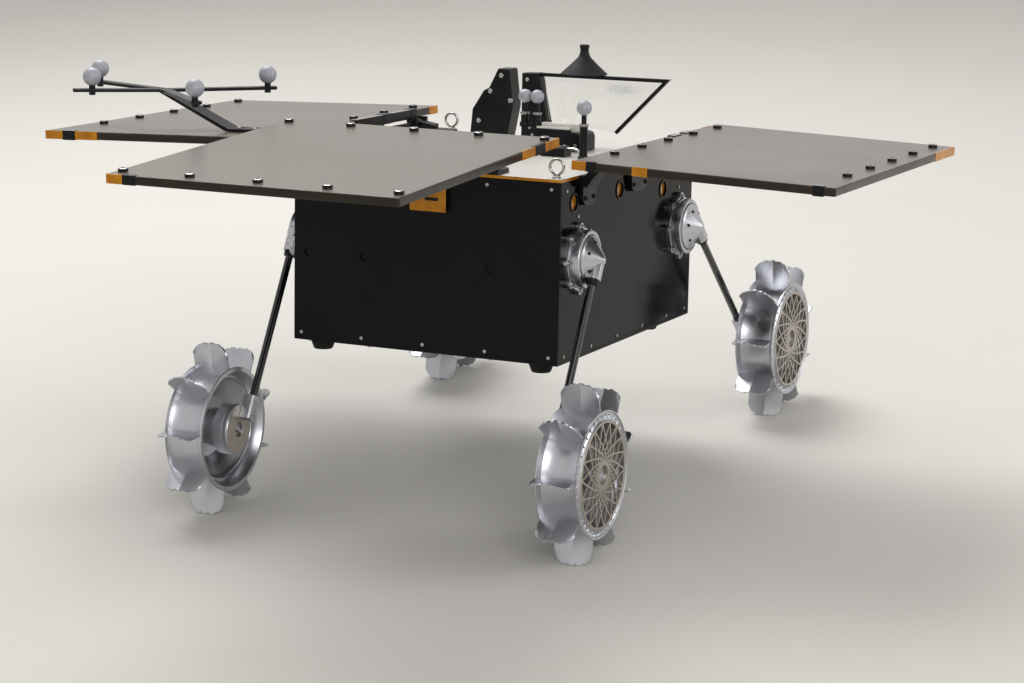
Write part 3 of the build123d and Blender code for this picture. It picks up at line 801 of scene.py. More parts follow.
@dataclass(frozen=True)
class Stance:
    """Where the body, its shoulders and its wheels stand in the row's frame.

    Attributes:
        shoulder_y: shoulders before and behind the body's middle.
        shoulder_z: shoulders above its underside.
    """

    shoulder_y: float = 160.0
    shoulder_z: float = 123.0
    corners: tuple[Corner, ...] = (Corner("front_left", -1, -1, 28.6), Corner("front_right", 1, -1, 28.6),
                                   Corner("rear_left", -1, 1, 48.5), Corner("rear_right", 1, 1, 48.5))

    @property
    def body(self) -> Matrix:
        """Frame of the body, found from the leg joints of the record."""
        front = Vector(JOINTS["leg_front_right_swing"]["pos_m"])
        rear = Vector(JOINTS["leg_rear_right_swing"]["pos_m"])
        turn = Matrix.Rotation(atan2(rear.z - front.z, rear.y - front.y), 4, "X")
        middle = (front + rear) / 2
        middle.x = 0
        origin = middle - turn @ Vector((0, 0, self.shoulder_z * MM))
        return Matrix.Translation(origin) @ turn @ Matrix.Scale(MM, 4)

    def shoulder(self, corner: Corner, turn: float = 0.0) -> Matrix:
        """Frame of a shoulder, turned against the body by an angle in degrees."""
        place = Matrix.Translation((0, corner.end * self.shoulder_y, self.shoulder_z))
        return self.body @ place @ about_x(turn) @ corner.mirror

    def leg(self, corner: Corner) -> Matrix:
        """Frame of a leg, turned with it."""
        return self.shoulder(corner, corner.end * corner.spread)

    def wheel(self, corner: Corner) -> Matrix:
        """Frame of a wheel, level with the floor."""
        place = Vector(JOINTS[f"wheel_{corner.name}_spin"]["pos_m"])
        return Matrix.Translation((0, place.y, place.z)) @ Matrix.Scale(MM, 4) @ corner.mirror

    @staticmethod
    def turned_metal(joint: str, name: str) -> Turned:
        """Gives turned aluminium with fine rings round a joint: satin, and the rings catch the light."""
        place = JOINTS[joint]["pos_m"]
        return Turned(name, "#c4c5ca", "#bbbcc1", (0.27, 0.33), metallic=1.0, cloud=50, grain=2.0,
                      relief=0.002, centre=(place[1], place[2]), ring=2.4)


STANCE = Stance()
SHOULDER_METAL = {-1: STANCE.turned_metal("leg_front_right_swing", "turned_aluminium_front_shoulder"),
                  1: STANCE.turned_metal("leg_rear_right_swing", "turned_aluminium_rear_shoulder")}
WHEEL_METAL = {-1: STANCE.turned_metal("wheel_front_right_spin", "turned_aluminium_front_wheel"),
               1: STANCE.turned_metal("wheel_rear_right_spin", "turned_aluminium_rear_wheel")}


def on_body(parts: Sequence[Piece], name: str, slot: Slot, *nodes: str) -> Piece:
    """Fits a piece drawn in the body's frame, in place of the CAD nodes named."""
    return Bench.fit(parts, name, "body", slot, STANCE.body, nodes)


@dataclass
class Chassis:
    """Box body: skins, deck, base plate, ports and screws, in the body's frame."""

    half_width: float = 178.0
    half_depth: float = 209.0
    height: float = 222.0
    skin: float = 4.0
    easing: float = 0.6
    pocket: float = 2.0
    port_radius: float = 10.0
    recess_radius: float = 6.0
    screw_step: float = 83.4
    screw_low: float = 9.5
    screw_high: float = 210.0
    foot_radius: float = 16.0
    foot_end_radius: float = 11.5
    foot_height: float = 12.0
    ports: tuple[tuple[float, float], ...] = ((-171.0, 191.0), (-33.0, 191.0), (108.0, 176.0))
    recesses: tuple[tuple[float, float], ...] = ((-158.0, 110.0), (-81.0, 110.0), (87.0, 110.0))
    payload_holes: tuple[float, float, float, float] = (-60.0, -70.0, 30.0, 2.25)
    foot_x: tuple[float, ...] = (-148.0, 148.0)
    foot_y: tuple[float, ...] = (-189.0, 141.0)
    base_screws: tuple[float, ...] = (-157.5, -76.0, 7.0, 87.7)
    base_screw_y: float = -203.0
    screw_shift: float = -0.7
    side_screws: tuple[float, ...] = (-193.0, -112.0, -31.5, 49.0, 130.0, 193.0)
    side_high_from: float = 120.0
    drum_screws: tuple[float, ...] = (-158.0, 161.0)
    drum_screw_z: float = 173.0

    def build(self) -> None:
        """Builds the whole body."""
        self.ends()
        self.sides()
        self.deck()
        self.base()
        self.screws()
        Bench.dressed(frame["nodes"]["body_frame"], ANODISED)

    def ends(self) -> None:
        """Front skin with its round recesses, and rear skin."""
        for name, way in (("front_panel", -1), ("rear_panel", 1)):
            ys = sorted((way * self.half_depth, way * (self.half_depth - self.skin)))
            sheet = Bench.block((-self.half_width, ys[0], self.skin),
                                (self.half_width, ys[1], self.height - self.skin))
            if way < 0:
                Bench.cut(sheet, *(Bench.rod(self.recess_radius, (x, -self.half_depth - 1, z),
                                             (x, -self.half_depth + self.pocket, z))
                                   for x, z in self.recesses))
            Bench.eased(sheet, self.easing)
            on_body([Bench.dressed(sheet, RUBBED)], f"skin_{name}", Slot.SKIN, name)

    def sides(self) -> None:
        """Side skins with three round ports each, a bezel round each port and amber film in it."""
        w, d = self.half_width, self.half_depth - self.skin
        for side, name in ((-1, "left"), (1, "right")):
            sheet = Bench.block((w - self.skin, -d, self.skin), (w, d, self.height - self.skin))
            Bench.cut(sheet, *(Bench.rod(self.port_radius, (w - self.pocket, y, z), (w + 1, y, z))
                               for y, z in self.ports))
            Bench.finished(sheet, self.easing, LACQUER)
            parts = [sheet]
            for y, z in self.ports:
                place = Matrix.Translation((w, y, z))
                bezel = Bench.turned([(-0.2, 9.6), (0.9, 9.6), (1.2, 9.9), (1.2, 11.6), (0.9, 12.0),
                                      (-0.2, 12.0)], 48)
                parts.append(Bench.dressed(Bench.moved(bezel, place), ANODISED))
                film = Bench.rod(self.port_radius - 0.3, (-self.pocket - 0.2, 0, 0),
                                 (-self.pocket + 0.3, 0, 0))
                parts.append(Bench.dressed(Bench.moved(Bench.eased(film, 0.15), place), AMBER_TAPE))
            mirror = Matrix.Scale(side, 4, (1, 0, 0))
            Bench.fit(parts, f"skin_side_{name}", "body", Slot.SKIN, STANCE.body @ mirror,
                      [f"side_panel_{name}"])

    def deck(self) -> None:
        """Deck under silver film, with amber tape along its edges."""
        w, d, top = self.half_width, self.half_depth, self.height
        x, y, circle, radius = self.payload_holes
        sheet = Bench.block((-w, -d, top - self.skin), (w, d, top))
        turns = [radians(45 + 90 * k) for k in range(4)]
        Bench.cut(sheet, *(Bench.rod(radius, (x + circle * cos(a), y + circle * sin(a),
                                              top - self.skin - 1),
                                     (x + circle * cos(a), y + circle * sin(a), top + 1), 24)
                           for a in turns))
        Bench.finished(sheet, self.easing, SILVER_FILM)
        Bench.redressed(sheet, AMBER_TAPE, lambda middle, normal: normal.z < 0.9
                        and max(abs(middle.x) - w, abs(middle.y) - d) > -1)
        on_body([sheet], "deck_film", Slot.DECK, "deck_plate")

    def base(self) -> None:
        """Base plate on four short feet."""
        w, d = self.half_width, self.half_depth
        sheet = Bench.finished(Bench.block((-w, -d, 0), (w, d, self.skin)), self.easing, RUBBED)
        r, end, h = self.foot_radius, self.foot_end_radius, self.foot_height
        foot = Bench.turned([(-1, r), (0.4, r), (h - 0.8, end + 0.3), (h, end - 0.5), (h, 5),
                             (h - 1.5, 4.5)], 40, hollow=False)
        feet = Bench.repeated(foot, [Aim.DOWN.stood_at(x, y, 0) for x in self.foot_x for y in self.foot_y],
                              RUBBER)
        heads = Screw(2.6, 1.6).row([Aim.DOWN.at(x, self.base_screw_y, 0) for x in self.base_screws])
        on_body([sheet, feet, heads], "base_with_feet", Slot.SKIN, "base_plate")

    def screws(self) -> None:
        """Rows of small screws along the edges of the skins."""
        places = []
        for k in range(5):
            x = -self.screw_step * 2 + self.screw_shift + self.screw_step * k
            for z in (self.screw_low, self.screw_high):
                places += [Aim.FRONT.at(x, -self.half_depth, z), Aim.REAR.at(x, self.half_depth, z)]
        for y in self.side_screws:
            for aim, x in ((Aim.RIGHT, self.half_width), (Aim.LEFT, -self.half_width)):
                places.append(aim.at(x, y, self.screw_low))
                if abs(y) > self.side_high_from:
                    places.append(aim.at(x, y, self.screw_high - 3))
        for y in self.drum_screws:
            for aim, x in ((Aim.RIGHT, self.half_width), (Aim.LEFT, -self.half_width)):
                places.append(aim.at(x, y, self.drum_screw_z))
        on_body([Screw(2.3, 1.3).row(places)], "skin_screws", Slot.STEEL)


@dataclass
class Shoulder:
    """Lugged flange and drum on the body's side, in the shoulder's frame."""

    flange_in: float = 178.0
    flange_out: float = 184.0
    flange_radius: float = 38.0
    lugs: int = 8
    lug_radius: float = 5.5
    drum_out: float = 196.0
    drum_radius: float = 35.0
    lip: float = 5.0
    face_depth: float = 3.0
    bore: float = 11.0

    def build(self) -> None:
        """Models one shoulder, and fits a copy at each corner."""
        a, b, r = self.flange_in, self.flange_out, self.flange_radius
        flange = Bench.turned([(a, self.bore), (a, r), (b - 0.6, r), (b, r - 0.6), (b, self.bore)])
        circle = [about_x(360 * k / self.lugs) for k in range(self.lugs)]
        lug = Bench.eased(Bench.rod(self.lug_radius, (a, 0, r), (b + 0.2, 0, r), 28), 0.5)
        lugs = Bench.repeated(lug, circle, ROLLED)
        out, q = self.drum_out, self.drum_radius
        drum = Bench.turned([(b, self.bore), (b, q - 0.8), (b + 0.8, q), (b + 2.6, q), (b + 3, q - 0.7),
                             (b + 4, q - 0.7), (b + 4.4, q), (out - 1.2, q), (out - 0.3, q - 0.6),
                             (out, q - 1.4), (out, q - self.lip + 0.7), (out - 0.7, q - self.lip),
                             (out - self.face_depth, q - self.lip), (out - self.face_depth, self.bore)])
        bolts = Screw(2.9, 2.4).row([turn @ Aim.RIGHT.at(b + 0.2, 0, r) for turn in circle])
        pins = Screw(1.6, 0.8).row([about_x(22.5 + 45 * k) @ Aim.UP.at(b + 8, 0, q - 0.1)
                                    for k in range(8)])
        for part in (flange, drum):
            Bench.dressed(part, ROLLED)
        master = Bench.joined([flange, drum, lugs, bolts, pins])
        for corner in STANCE.corners:
            piece = Bench.twin(master)
            piece.material_slots[0].material = SHOULDER_METAL[corner.end].material()
            Bench.fit([piece], f"shoulder_drum_{corner.name}", "body", Slot.METAL, STANCE.shoulder(corner),
                      [f"shoulder_{corner.name}"])
        bpy.data.objects.remove(master)


@dataclass
class Leg:
    """Conical root, clamp, tube and foot block, with the wheel drive, in the leg's frame."""

    length: float = 259.0
    root_in: float = 194.0
    root_radius: float = 29.0
    ridge_x: float = 197.5
    tip_x: float = 215.0
    tip_radius: float = 5.0
    tube_x: float = 204.5
    tube_radius: float = 4.7
    drive_x: float = 212.5
    drive_radius: float = 31.0
    drive_length: float = 20.0
    step_radius: float = 24.0
    step_length: float = 16.0
    clamp_low: Spot = (195.6, -9.0, -25.0)
    clamp_high: Spot = (213.4, 9.0, -3.0)
    foot_low: float = 14.0
    foot_high: float = 44.0
    foot_back: float = 6.0
    foot_half: float = 8.0
    cone_screw_radius: float = 21.4

    def root(self) -> list[Piece]:
        """Stub, cone with its screws, clamp block and collar."""
        a, b, c, r = self.root_in, self.ridge_x, self.tip_x, self.root_radius
        cone = Bench.turned([(a - 15, 9), (a, 9.2), (a, r - 0.6), (a + 0.5, r), (b - 0.4, r), (b, r - 0.5),
                             (b + 0.3, r - 1.6), (b + 1.6, r - 3.2), (c - 1.2, self.tip_radius),
                             (c - 0.4, self.tip_radius - 1.9), (c, self.tip_radius - 3.4)], hollow=False)
        slope = Vector((r - self.tip_radius, 0, c - b)).normalized()
        at = self.cone_screw_radius
        seat = Vector((b + (r - at) / (r - self.tip_radius) * (c - b) - 0.4, 0, at))
        heads = Screw(1.9, 0.5).row([about_x(30 + 60 * k) @ set_along(seat, slope) for k in range(6)],
                                    ANODISED)
        block = Bench.block(self.clamp_low, self.clamp_high)
        with Edit(block, Parts.EDGE) as edit:
            edit.pick(lambda middle, way: abs(way.z) > 0.9 and middle.x > 205)
            bpy.ops.mesh.bevel(offset=5.2, segments=1, affect="EDGES")
        Bench.cut(block, Bench.rod(1.8, (self.tube_x, -10, -17), (self.tube_x, -6, -17), 16))
        Bench.eased(block, 0.7)
        collar = Bench.turned([(24.5, 4.8), (24.5, 7), (25, 7.5), (27.6, 7.5), (28, 7), (28.4, 7.5),
                               (30.6, 7.5), (31, 7), (31, 4.8)], 40)
        Bench.moved(collar, Matrix.Translation((self.tube_x, 0, 0)) @ Matrix.Rotation(pi / 2, 4, "Y"))
        for part in (cone, block):
            Bench.dressed(part, ROLLED)
        return [cone, block, heads, Bench.dressed(collar, ANODISED)]

    def shank(self) -> list[Piece]:
        """Gloss black tube, and the foot block that holds the drive."""
        low, high = -self.length + self.foot_low, -self.length + self.foot_high
        tube = Bench.dressed(Bench.rod(self.tube_radius, (self.tube_x, 0, low + 2), (self.tube_x, 0, -20),
                                       40), TUBE_BLACK)
        back, half = self.tube_x - self.foot_back, self.foot_half
        foot = Bench.block((back, -half, low), (self.drive_x, half, high))
        with Edit(foot, Parts.EDGE) as edit:
            edit.pick(lambda middle, way: abs(way.z) > 0.9 and middle.x < self.tube_x)
            bpy.ops.mesh.bevel(offset=3, segments=3, affect="EDGES")
        Bench.finished(foot, 0.6, ROLLED)
        heads = Screw(2.2, 1.4).row([Aim.LEFT.at(back, 0, low + z) for z in (7, 23)])
        return [tube, foot, heads]

    def drive(self) -> list[Piece]:
        """Stepped wheel drive with a slotted eye, and the axle."""
        x, r, s = self.drive_x, self.drive_radius, self.step_radius
        y = x + self.drive_length
        z = y + self.step_length
        case = Bench.turned([(x + 3.4, 8.8), (x + 0.4, 9), (x, 9.5), (x, r - 3.4), (x + 0.7, r - 3),
                             (x + 0.7, r - 2.2), (x, r - 1.8), (x, r - 0.8), (x + 0.8, r), (x + 4, r),
                             (x + 4.6, r - 0.9), (x + 6.4, r - 0.9), (x + 7, r), (y - 0.8, r), (y, r - 0.8),
                             (y, s + 0.4), (y + 0.6, s), (z - 0.9, s), (z, s - 0.9), (z, 5.2), (z + 0.4, 5),
                             (z + 13.6, 5), (z + 14, 4.6)], hollow=False)
        bar = Bench.finished(Bench.block((x + 0.5, -9.2, -2), (x + 2.6, 9.2, 2)), 0.4, ROLLED)
        Bench.dressed(case, ROLLED)
        Bench.redressed(case, BLASTED, lambda middle, normal: normal.x < -0.9
                        and middle.yz.length < r - 3.2)
        return [Bench.moved(part, Matrix.Translation((0, 0, -self.length))) for part in (case, bar)]

    def build(self) -> None:
        """Models one leg and one drive, and fits copies at each corner."""
        kinds = (("leg_arm", Slot.TUBE, "leg", self.root() + self.shank(), SHOULDER_METAL),
                 ("drive_case", Slot.METAL, "wheel_drive", self.drive(), WHEEL_METAL))
        for label, slot, node, parts, metal in kinds:
            master = Bench.joined(parts)
            for corner in STANCE.corners:
                piece = Bench.twin(master)
                piece.material_slots[0].material = metal[corner.end].material()
                Bench.fit([piece], f"{label}_{corner.name}", f"leg_{corner.name}", slot, STANCE.leg(corner),
                          [f"{node}_{corner.name}"])
            bpy.data.objects.remove(master)


@dataclass
class Wheel:
    """Open wheel with tread, grousers, dish, ribbed ring and lattice disc, in the wheel's frame."""

    inner_x: float = 220.0
    outer_x: float = 271.0
    tread: float = 73.5
    sheet: float = 2.5
    bead: float = 3.0
    tip: float = 107.0
    waist: float = 8.5
    grousers: int = 9
    blade: float = 2.2
    blade_half: float = 24.0
    blade_sweep: float = 5.0
    corner_drop: float = 10.5
    scallops: int = 5
    scallop_depth: float = 1.8
    ribs: int = 36
    disc_x: float = 270.2
    disc: float = 2.3
    ring_out: float = 64.0
    ring_in: float = 60.6
    hub: float = 13.0
    web: float = 17.6
    hub_hole: float = 11.7
    arms: int = 18
    arm_width: float = 2.3
    arm_turn: float = 118.0

    def waisted(self, x: float) -> float:
        """Radius of the tread's outer surface at a place along the axle; its middle is drawn in."""
        share = 2 * (x - self.inner_x) / (self.outer_x - self.inner_x) - 1
        return self.tread - self.waist * (1 - share * share)

    def band(self) -> Piece:
        """Rolled tread, drawn in at its middle, with a bead along both edges."""
        a, b, r = self.inner_x, self.outer_x, self.tread
        inside = [a + 5 + (b - a - 8) * k / 12 for k in range(13)]
        surface = [(x, self.waisted(x)) for x in inside]
        under = [(x, radius - self.sheet) for x, radius in reversed(surface)]
        near = [(a, r - 2.5), (a, r + 2.3), (a + 0.7, r + self.bead), (a + 1.7, r + 2.8),
                (a + 3.2, r + 0.4)]
        far = [(b - 1.6, r + 0.2), (b - 0.8, r + 1.9), (b - 0.2, r + 1.9), (b, r + 1.4), (b, r + 0.6),
               (b - 1.4, r - 0.6), (b - 1.4, r - 2.5)]
        return Bench.turned([*near, *surface, *far, *under], 120)

    def drop(self, share: float) -> float:
        """Height that a grouser's top loses at a share of its half width: rounded corners, and scallops."""
        share = abs(share)
        corner = self.corner_drop * max(0.0, (share - 0.42) / 0.58) ** 2.2
        notch = 1 - abs(cos(pi * self.scallops * share / 2))
        return 1.8 * share + corner + self.scallop_depth * notch ** 2

    def grouser(self) -> Piece:
        """One blade on top of the wheel: a creased sheet with its root on the tread and a scalloped top."""
        columns, rows = 60, 6
        middle, low = (self.inner_x + self.outer_x) / 2, self.tread - self.waist - 1.2
        bpy.ops.mesh.primitive_grid_add(x_subdivisions=columns, y_subdivisions=rows, size=1,
                                        location=(middle, 0, (self.tip + low) / 2), rotation=(pi / 2, 0, 0))
        blade = bpy.context.object
        blade.scale = (2 * self.blade_half, self.tip - low, 1)
        Bench.settle(blade)
        with Edit(blade, Parts.VERT) as edit:
            for k in range(columns + 1):
                share = 2 * k / columns - 1
                x = middle + share * self.blade_half
                root = self.waisted(x) - self.tread + self.waist
                for row in range(rows, -1, -1):
                    height = row / rows
                    z = low + height * (self.tip - low)
                    edit.pick(lambda place, normal: abs(place.x - x) < 0.01 and abs(place.z - z) < 0.01)
                    back = self.blade_sweep * height * abs(share)
                    rise = (1 - height) * root - height ** 3 * self.drop(share)
                    bpy.ops.transform.translate(value=(0, -back, rise))
        Bench.apply(blade, "SOLIDIFY", thickness=self.blade, offset=0.0)
        return Bench.eased(blade, 0.5, 2, 50)

    def dish(self) -> Piece:
        """Smooth bowl from a lip under the tread in to the hub."""
        a, end = self.inner_x, self.disc_x - 3
        inner = [(a + 13, self.waisted(a + 13) - 1), (a + 12.4, 62.6), (a + 13, 61.8), (a + 14.4, 61.6),
                 (a + 16.5, 60.6), (a + 19.5, 57), (a + 23.5, 50.5), (a + 27.5, 45), (a + 31.5, 40.8),
                 (a + 35, 37.6), (a + 36, 36), (a + 36, 22), (a + 35.2, 21.4), (a + 35.2, 16),
                 (a + 36, 15.4), (a + 36, 6.2)]
        outer = [(end, 6.2), (end, 12), (a + 38, 12.4), (a + 38, 37.4), (a + 33.5, 41.8), (a + 29.5, 46.4),
                 (a + 25.5, 52.2), (a + 21.5, 58.6), (a + 18.2, 62.6),
                 (a + 15.4, self.waisted(a + 15.4) - 1)]
        return Bench.turned(inner + outer, 96)

    def ring(self) -> list[Piece]:
        """Sloping outer ring, and the short ribs on it."""
        b, under = self.outer_x, self.tread - 2.4
        ring = Bench.turned([(b - 4.5, 61), (b - 4.5, under), (b - 1.4, under), (b - 1.6, self.tread - 0.7),
                             (b - 2.6, 71.4), (b - 2.9, 68.6), (b - 2.2, 66.2), (b - 0.4, 64.4),
                             (b + 0.6, 63.8), (b + 0.6, 61)], 120)
        rib = Bench.block((b - 3.2, -0.8, 64.6), (b - 0.8, 0.8, 72.6))
        with Edit(rib) as edit:
            edit.pick(lambda middle, normal: normal.x > 0.9)
            bpy.ops.transform.resize(value=(1, 0.5, 0.85), center_override=(b - 0.8, 0, 67.8))
        turns = [about_x(360 * (k + 0.5) / self.ribs) for k in range(self.ribs)]
        return [Bench.dressed(ring, ROLLED), Bench.repeated(Bench.eased(rib, 0.25), turns, ROLLED)]

    def arm(self, x: float, thickness: float, way: int) -> Piece:
        """One curved arm of the lattice: steep at the ring, and along the hub where it meets it.

        Args:
            x: its inner face.
            thickness: along the axle.
            way: 1 or -1, the way that it curves.

        Returns:
            The arm, with its end on top of the ring.
        """
        steps, start, end = 20, self.hub, self.ring_in + 1
        left, right = [], []
        for k in range(steps + 1):
            radius = end + (self.web - 0.6 - end) * k / steps
            angle = way * radians(self.arm_turn) * (start / radius - start / end)
            lean = angle - way * atan2(radians(self.arm_turn) * start / radius, 1)
            across = Vector((cos(lean), sin(lean))) * self.arm_width / 2
            point = Vector((-sin(angle), cos(angle))) * radius
            left.append((x, *(point + across)))
            right.append((x, *(point - across)))
        return Bench.plate([*left, *reversed(right)], (thickness, 0, 0))

    def lattice(self) -> list[Piece]:
        """Two families of curved arms that cross, with the ring and the hollow hub that hold them."""
        x, t, hole = self.disc_x, self.disc, self.hub_hole
        turns = [about_x(360 * k / self.arms) for k in range(self.arms)]
        families = [Bench.repeated(self.arm(x + 0.1, t - 0.2, 1), turns, BLASTED),
                    Bench.repeated(self.arm(x + 0.25, t - 0.5, -1), turns, BLASTED)]
        ring = Bench.turned([(x - 1.5, self.ring_in), (x - 1.5, self.ring_out),
                             (x + t - 0.4, self.ring_out), (x + t, self.ring_out - 0.4),
                             (x + t, self.ring_in + 0.4), (x + t - 0.4, self.ring_in)], 120)
        hub = Bench.turned([(x + t + 0.2, hole + 0.3), (x + t + 0.2, hole + 2), (x + t, hole + 2.4),
                            (x + t, self.web - 0.3), (x + t - 0.3, self.web), (x, self.web),
                            (x - 3.4, hole + 2.4), (x - 3.4, hole), (x + t, hole)], 72)
        floor = Bench.turned([(x - 4, hole + 1), (x - 1.8, hole + 1), (x - 1.8, 6.6), (x - 1, 6),
                              (x - 1, 2.4), (x - 1.8, 1.8)], 48, hollow=False)
        heads = Screw(1.3, 0.8).row([about_x(60 * k + 30) @ Aim.RIGHT.at(x - 1.8, 0, 9.2)
                                     for k in range(6)])
        return [Bench.dressed(floor, ROLLED), Bench.dressed(ring, BLASTED), Bench.dressed(hub, BLASTED),
                heads, *families]

    def build(self) -> None:
        """Models one wheel, and fits a copy at each corner."""
        turns = [about_x(180 + 360 * (k + 0.5) / self.grousers) for k in range(self.grousers)]
        grousers = Bench.repeated(self.grouser(), turns, ROLLED)
        rim = Bench.joined([Bench.dressed(self.dish(), ROLLED), Bench.dressed(self.band(), ROLLED),
                            *self.ring()])
        disc = Bench.joined(self.lattice())
        for label, master, node in (("rim", rim, "wheel_rim"), ("lattice", disc, "wheel_disc"),
                                    ("grousers", grousers, None)):
            for corner in STANCE.corners:
                piece = Bench.twin(master)
                if node:
                    piece.material_slots[0].material = WHEEL_METAL[corner.end].material()
                Bench.fit([piece], f"{label}_{corner.name}", f"wheel_{corner.name}", Slot.METAL,
                          STANCE.wheel(corner), [f"{node}_{corner.name}"] if node else [])
            bpy.data.objects.remove(master)


@dataclass(frozen=True)
class Knuckle:
    """One knuckle of a hinge: its place along the hinge, and its half width."""

    at: float
    half: float


class Side(Enum):
    """Edge of a panel: at its hinge, away from it, and at either end of the hinge."""

    HINGE = "hinge"
    FAR = "far"
    LOW = "low"
    HIGH = "high"


@dataclass(frozen=True)
class Wrap:
    """Tape or clip folded over a stretch of a panel's edge.

    Attributes:
        side: the edge.
        start: along the hinge, or out from the body's middle on the two ends.
        end: of the stretch.
        finish: of its sides.
        proud: how far it stands off the plate.
        lap: how far it reaches in over the top.
        top: finish of its top, if that is another one.
    """

    side: Side
    start: float
    end: float
    finish: Finish
    proud: float = 0.35
    lap: float = 2.4
    top: Finish | None = None

    def made(self, low: Spot, high: Spot) -> Piece:
        """Models it on a plate between two corners."""
        (x0, y0, z0), (x1, y1, z1) = low, high
        p, z0, z1 = self.proud, z0 - self.proud, z1 + self.proud
        spans = {Side.HINGE: ((self.start, y1 - self.lap, z0), (self.end, y1 + p, z1)),
                 Side.FAR: ((self.start, y0 - p, z0), (self.end, y0 + self.lap, z1)),
                 Side.LOW: ((x0 - p, -self.end, z0), (x0 + self.lap, -self.start, z1)),
                 Side.HIGH: ((x1 - self.lap, -self.end, z0), (x1 + p, -self.start, z1))}
        piece = Bench.finished(Bench.block(*spans[self.side]), min(0.3 + p / 2, 1.2), self.finish)
        if self.top is None:
            return piece
        return Bench.redressed(piece, self.top, lambda middle, normal: normal.z > 0.9)


@dataclass
class SolarPanel:
    """Hinged plate, drawn to the front and then turned to its side of the body."""

    name: str
    half: float
    depth: float
    face: float
    gap: float
    rise: float
    droop: float
    facing: float
    knuckles: tuple[Knuckle, ...]
    near_row: tuple[float, ...]
    far_row: tuple[float, ...]
    wraps: tuple[Wrap, ...]
    middle: float = 0.0
    near_inset: float = 17.0
    far_inset: float = 21.0
    thickness: float = 11.0
    deck: float = 222.0

    @property
    def pivot(self) -> tuple[float, float]:
        """Place (y, z) of the hinge pin."""
        return -(self.face + self.gap - 3), self.deck + self.rise - 7

    @property
    def pose(self) -> Matrix:
        """Frame of the drooped panel."""
        pin = Matrix.Translation((0, *self.pivot))
        turn = Matrix.Rotation(radians(self.facing), 4, "Z")
        return STANCE.body @ turn @ pin @ about_x(self.droop) @ pin.inverted()

    def board(self) -> list[Piece]:
        """Plate with dark brown edges, tape and clips over them, laminate below and the textured sheet on
        top.
        """
        near, under = -(self.face + self.gap), self.deck + self.rise
        far, top = near - self.depth, under + self.thickness
        x0, x1 = self.middle - self.half, self.middle + self.half
        core = Bench.block((x0, far + 0.6, under + 1), (x1, near, top - 0.4))
        sheet = Bench.block((x0 + 1.2, far + 1.2, top - 0.8), (x1 - 1.2, near - 1.2, top))
        for part, radius, easing in ((core, 4.0, 0.9), (sheet, 3.0, 0.25)):
            with Edit(part, Parts.EDGE) as edit:
                edit.pick(lambda middle, way: abs(way.z) > 0.9)
                bpy.ops.mesh.bevel(offset=radius, segments=5, affect="EDGES")
            Bench.eased(part, easing)
        # Sides of the core are nearly black brown all round.
        Bench.dressed(core, DARK_BROWN_EDGE)
        Bench.redressed(core, LAMINATE, lambda middle, normal: normal.z < -0.9)
        wraps = [wrap.made((x0, far + 0.6, under + 1), (x1, near, top)) for wrap in self.wraps]
        return [core, Bench.dressed(sheet, CELL_FACE), *wraps]

    def ears(self) -> Piece:
        """Pairs of ears that hang from the plate, one each side of a knuckle."""
        y, z = self.pivot
        under = self.deck + self.rise
        eye = Bench.turned([(0, 3.4), (0, 7.6), (0.4, 8), (5.6, 8), (6, 7.6), (6, 3.4)], 40)
        Bench.moved(eye, Matrix.Translation((0, y, z)))
        cheek = Bench.eased(Bench.block((0.1, y - 8, z + 3), (5.9, y + 8, under + 1.5)), 0.4)
        places = [Matrix.Translation((x, 0, 0)) for k in self.knuckles
                  for x in (k.at - k.half - 7, k.at + k.half + 1)]
        return Bench.repeated(Bench.joined([eye, cheek]), places, ANODISED)

    def fasteners(self) -> list[Piece]:
        """Wide round screws in two rows, blackened round their sides."""
        near, top = -(self.face + self.gap), self.deck + self.rise + self.thickness
        rows = [Aim.UP.at(x, near - self.near_inset, top) for x in self.near_row]
        rows += [Aim.UP.at(x, near - self.depth + self.far_inset, top) for x in self.far_row]
        heads = Screw(5.7, 4.2).row(rows)
        return [Bench.redressed(heads, ANODISED, lambda middle, normal: abs(normal.z) < 0.6)]

    def build(self) -> None:
        """Builds the panel and dresses its hinge."""
        node = f"solar_panel_{self.name}"
        Bench.fit([*self.board(), self.ears(), *self.fasteners()], f"solar_plate_{self.name}",
                  f"panel_{self.name}", Slot.CELLS, self.pose, [node])
        turn = STANCE.body @ Matrix.Rotation(radians(self.facing), 4, "Z")
        hinge = Bench.finished(Bench.from_cad(f"panel_hinge_{self.name}", turn), 0.5, ANODISED)
        parts = [hinge]
        face = -self.face
        if self.name == "front":
            Bench.redressed(hinge, AMBER_TAPE, lambda middle, normal: abs(middle.x - 7) < 26
                            and middle.z < self.deck + self.rise - 16)
            slot = Bench.eased(Bench.block((3, face - 6.3, 186), (21, face - 5.5, 190)), 0.3)
            parts.append(Bench.dressed(slot, ANODISED))
        else:
            low = self.deck - 28
            for knuckle in self.knuckles[:2]:
                parts.append(Screw(2.8, 1.8).row([Aim.FRONT.at(knuckle.at + s * (knuckle.half - 8),
                                                               face - 6, low) for s in (-1, 1)], ANODISED))
        Bench.fit(parts, f"hinge_{self.name}", "body", Slot.AMBER, turn, [f"panel_hinge_{self.name}"])


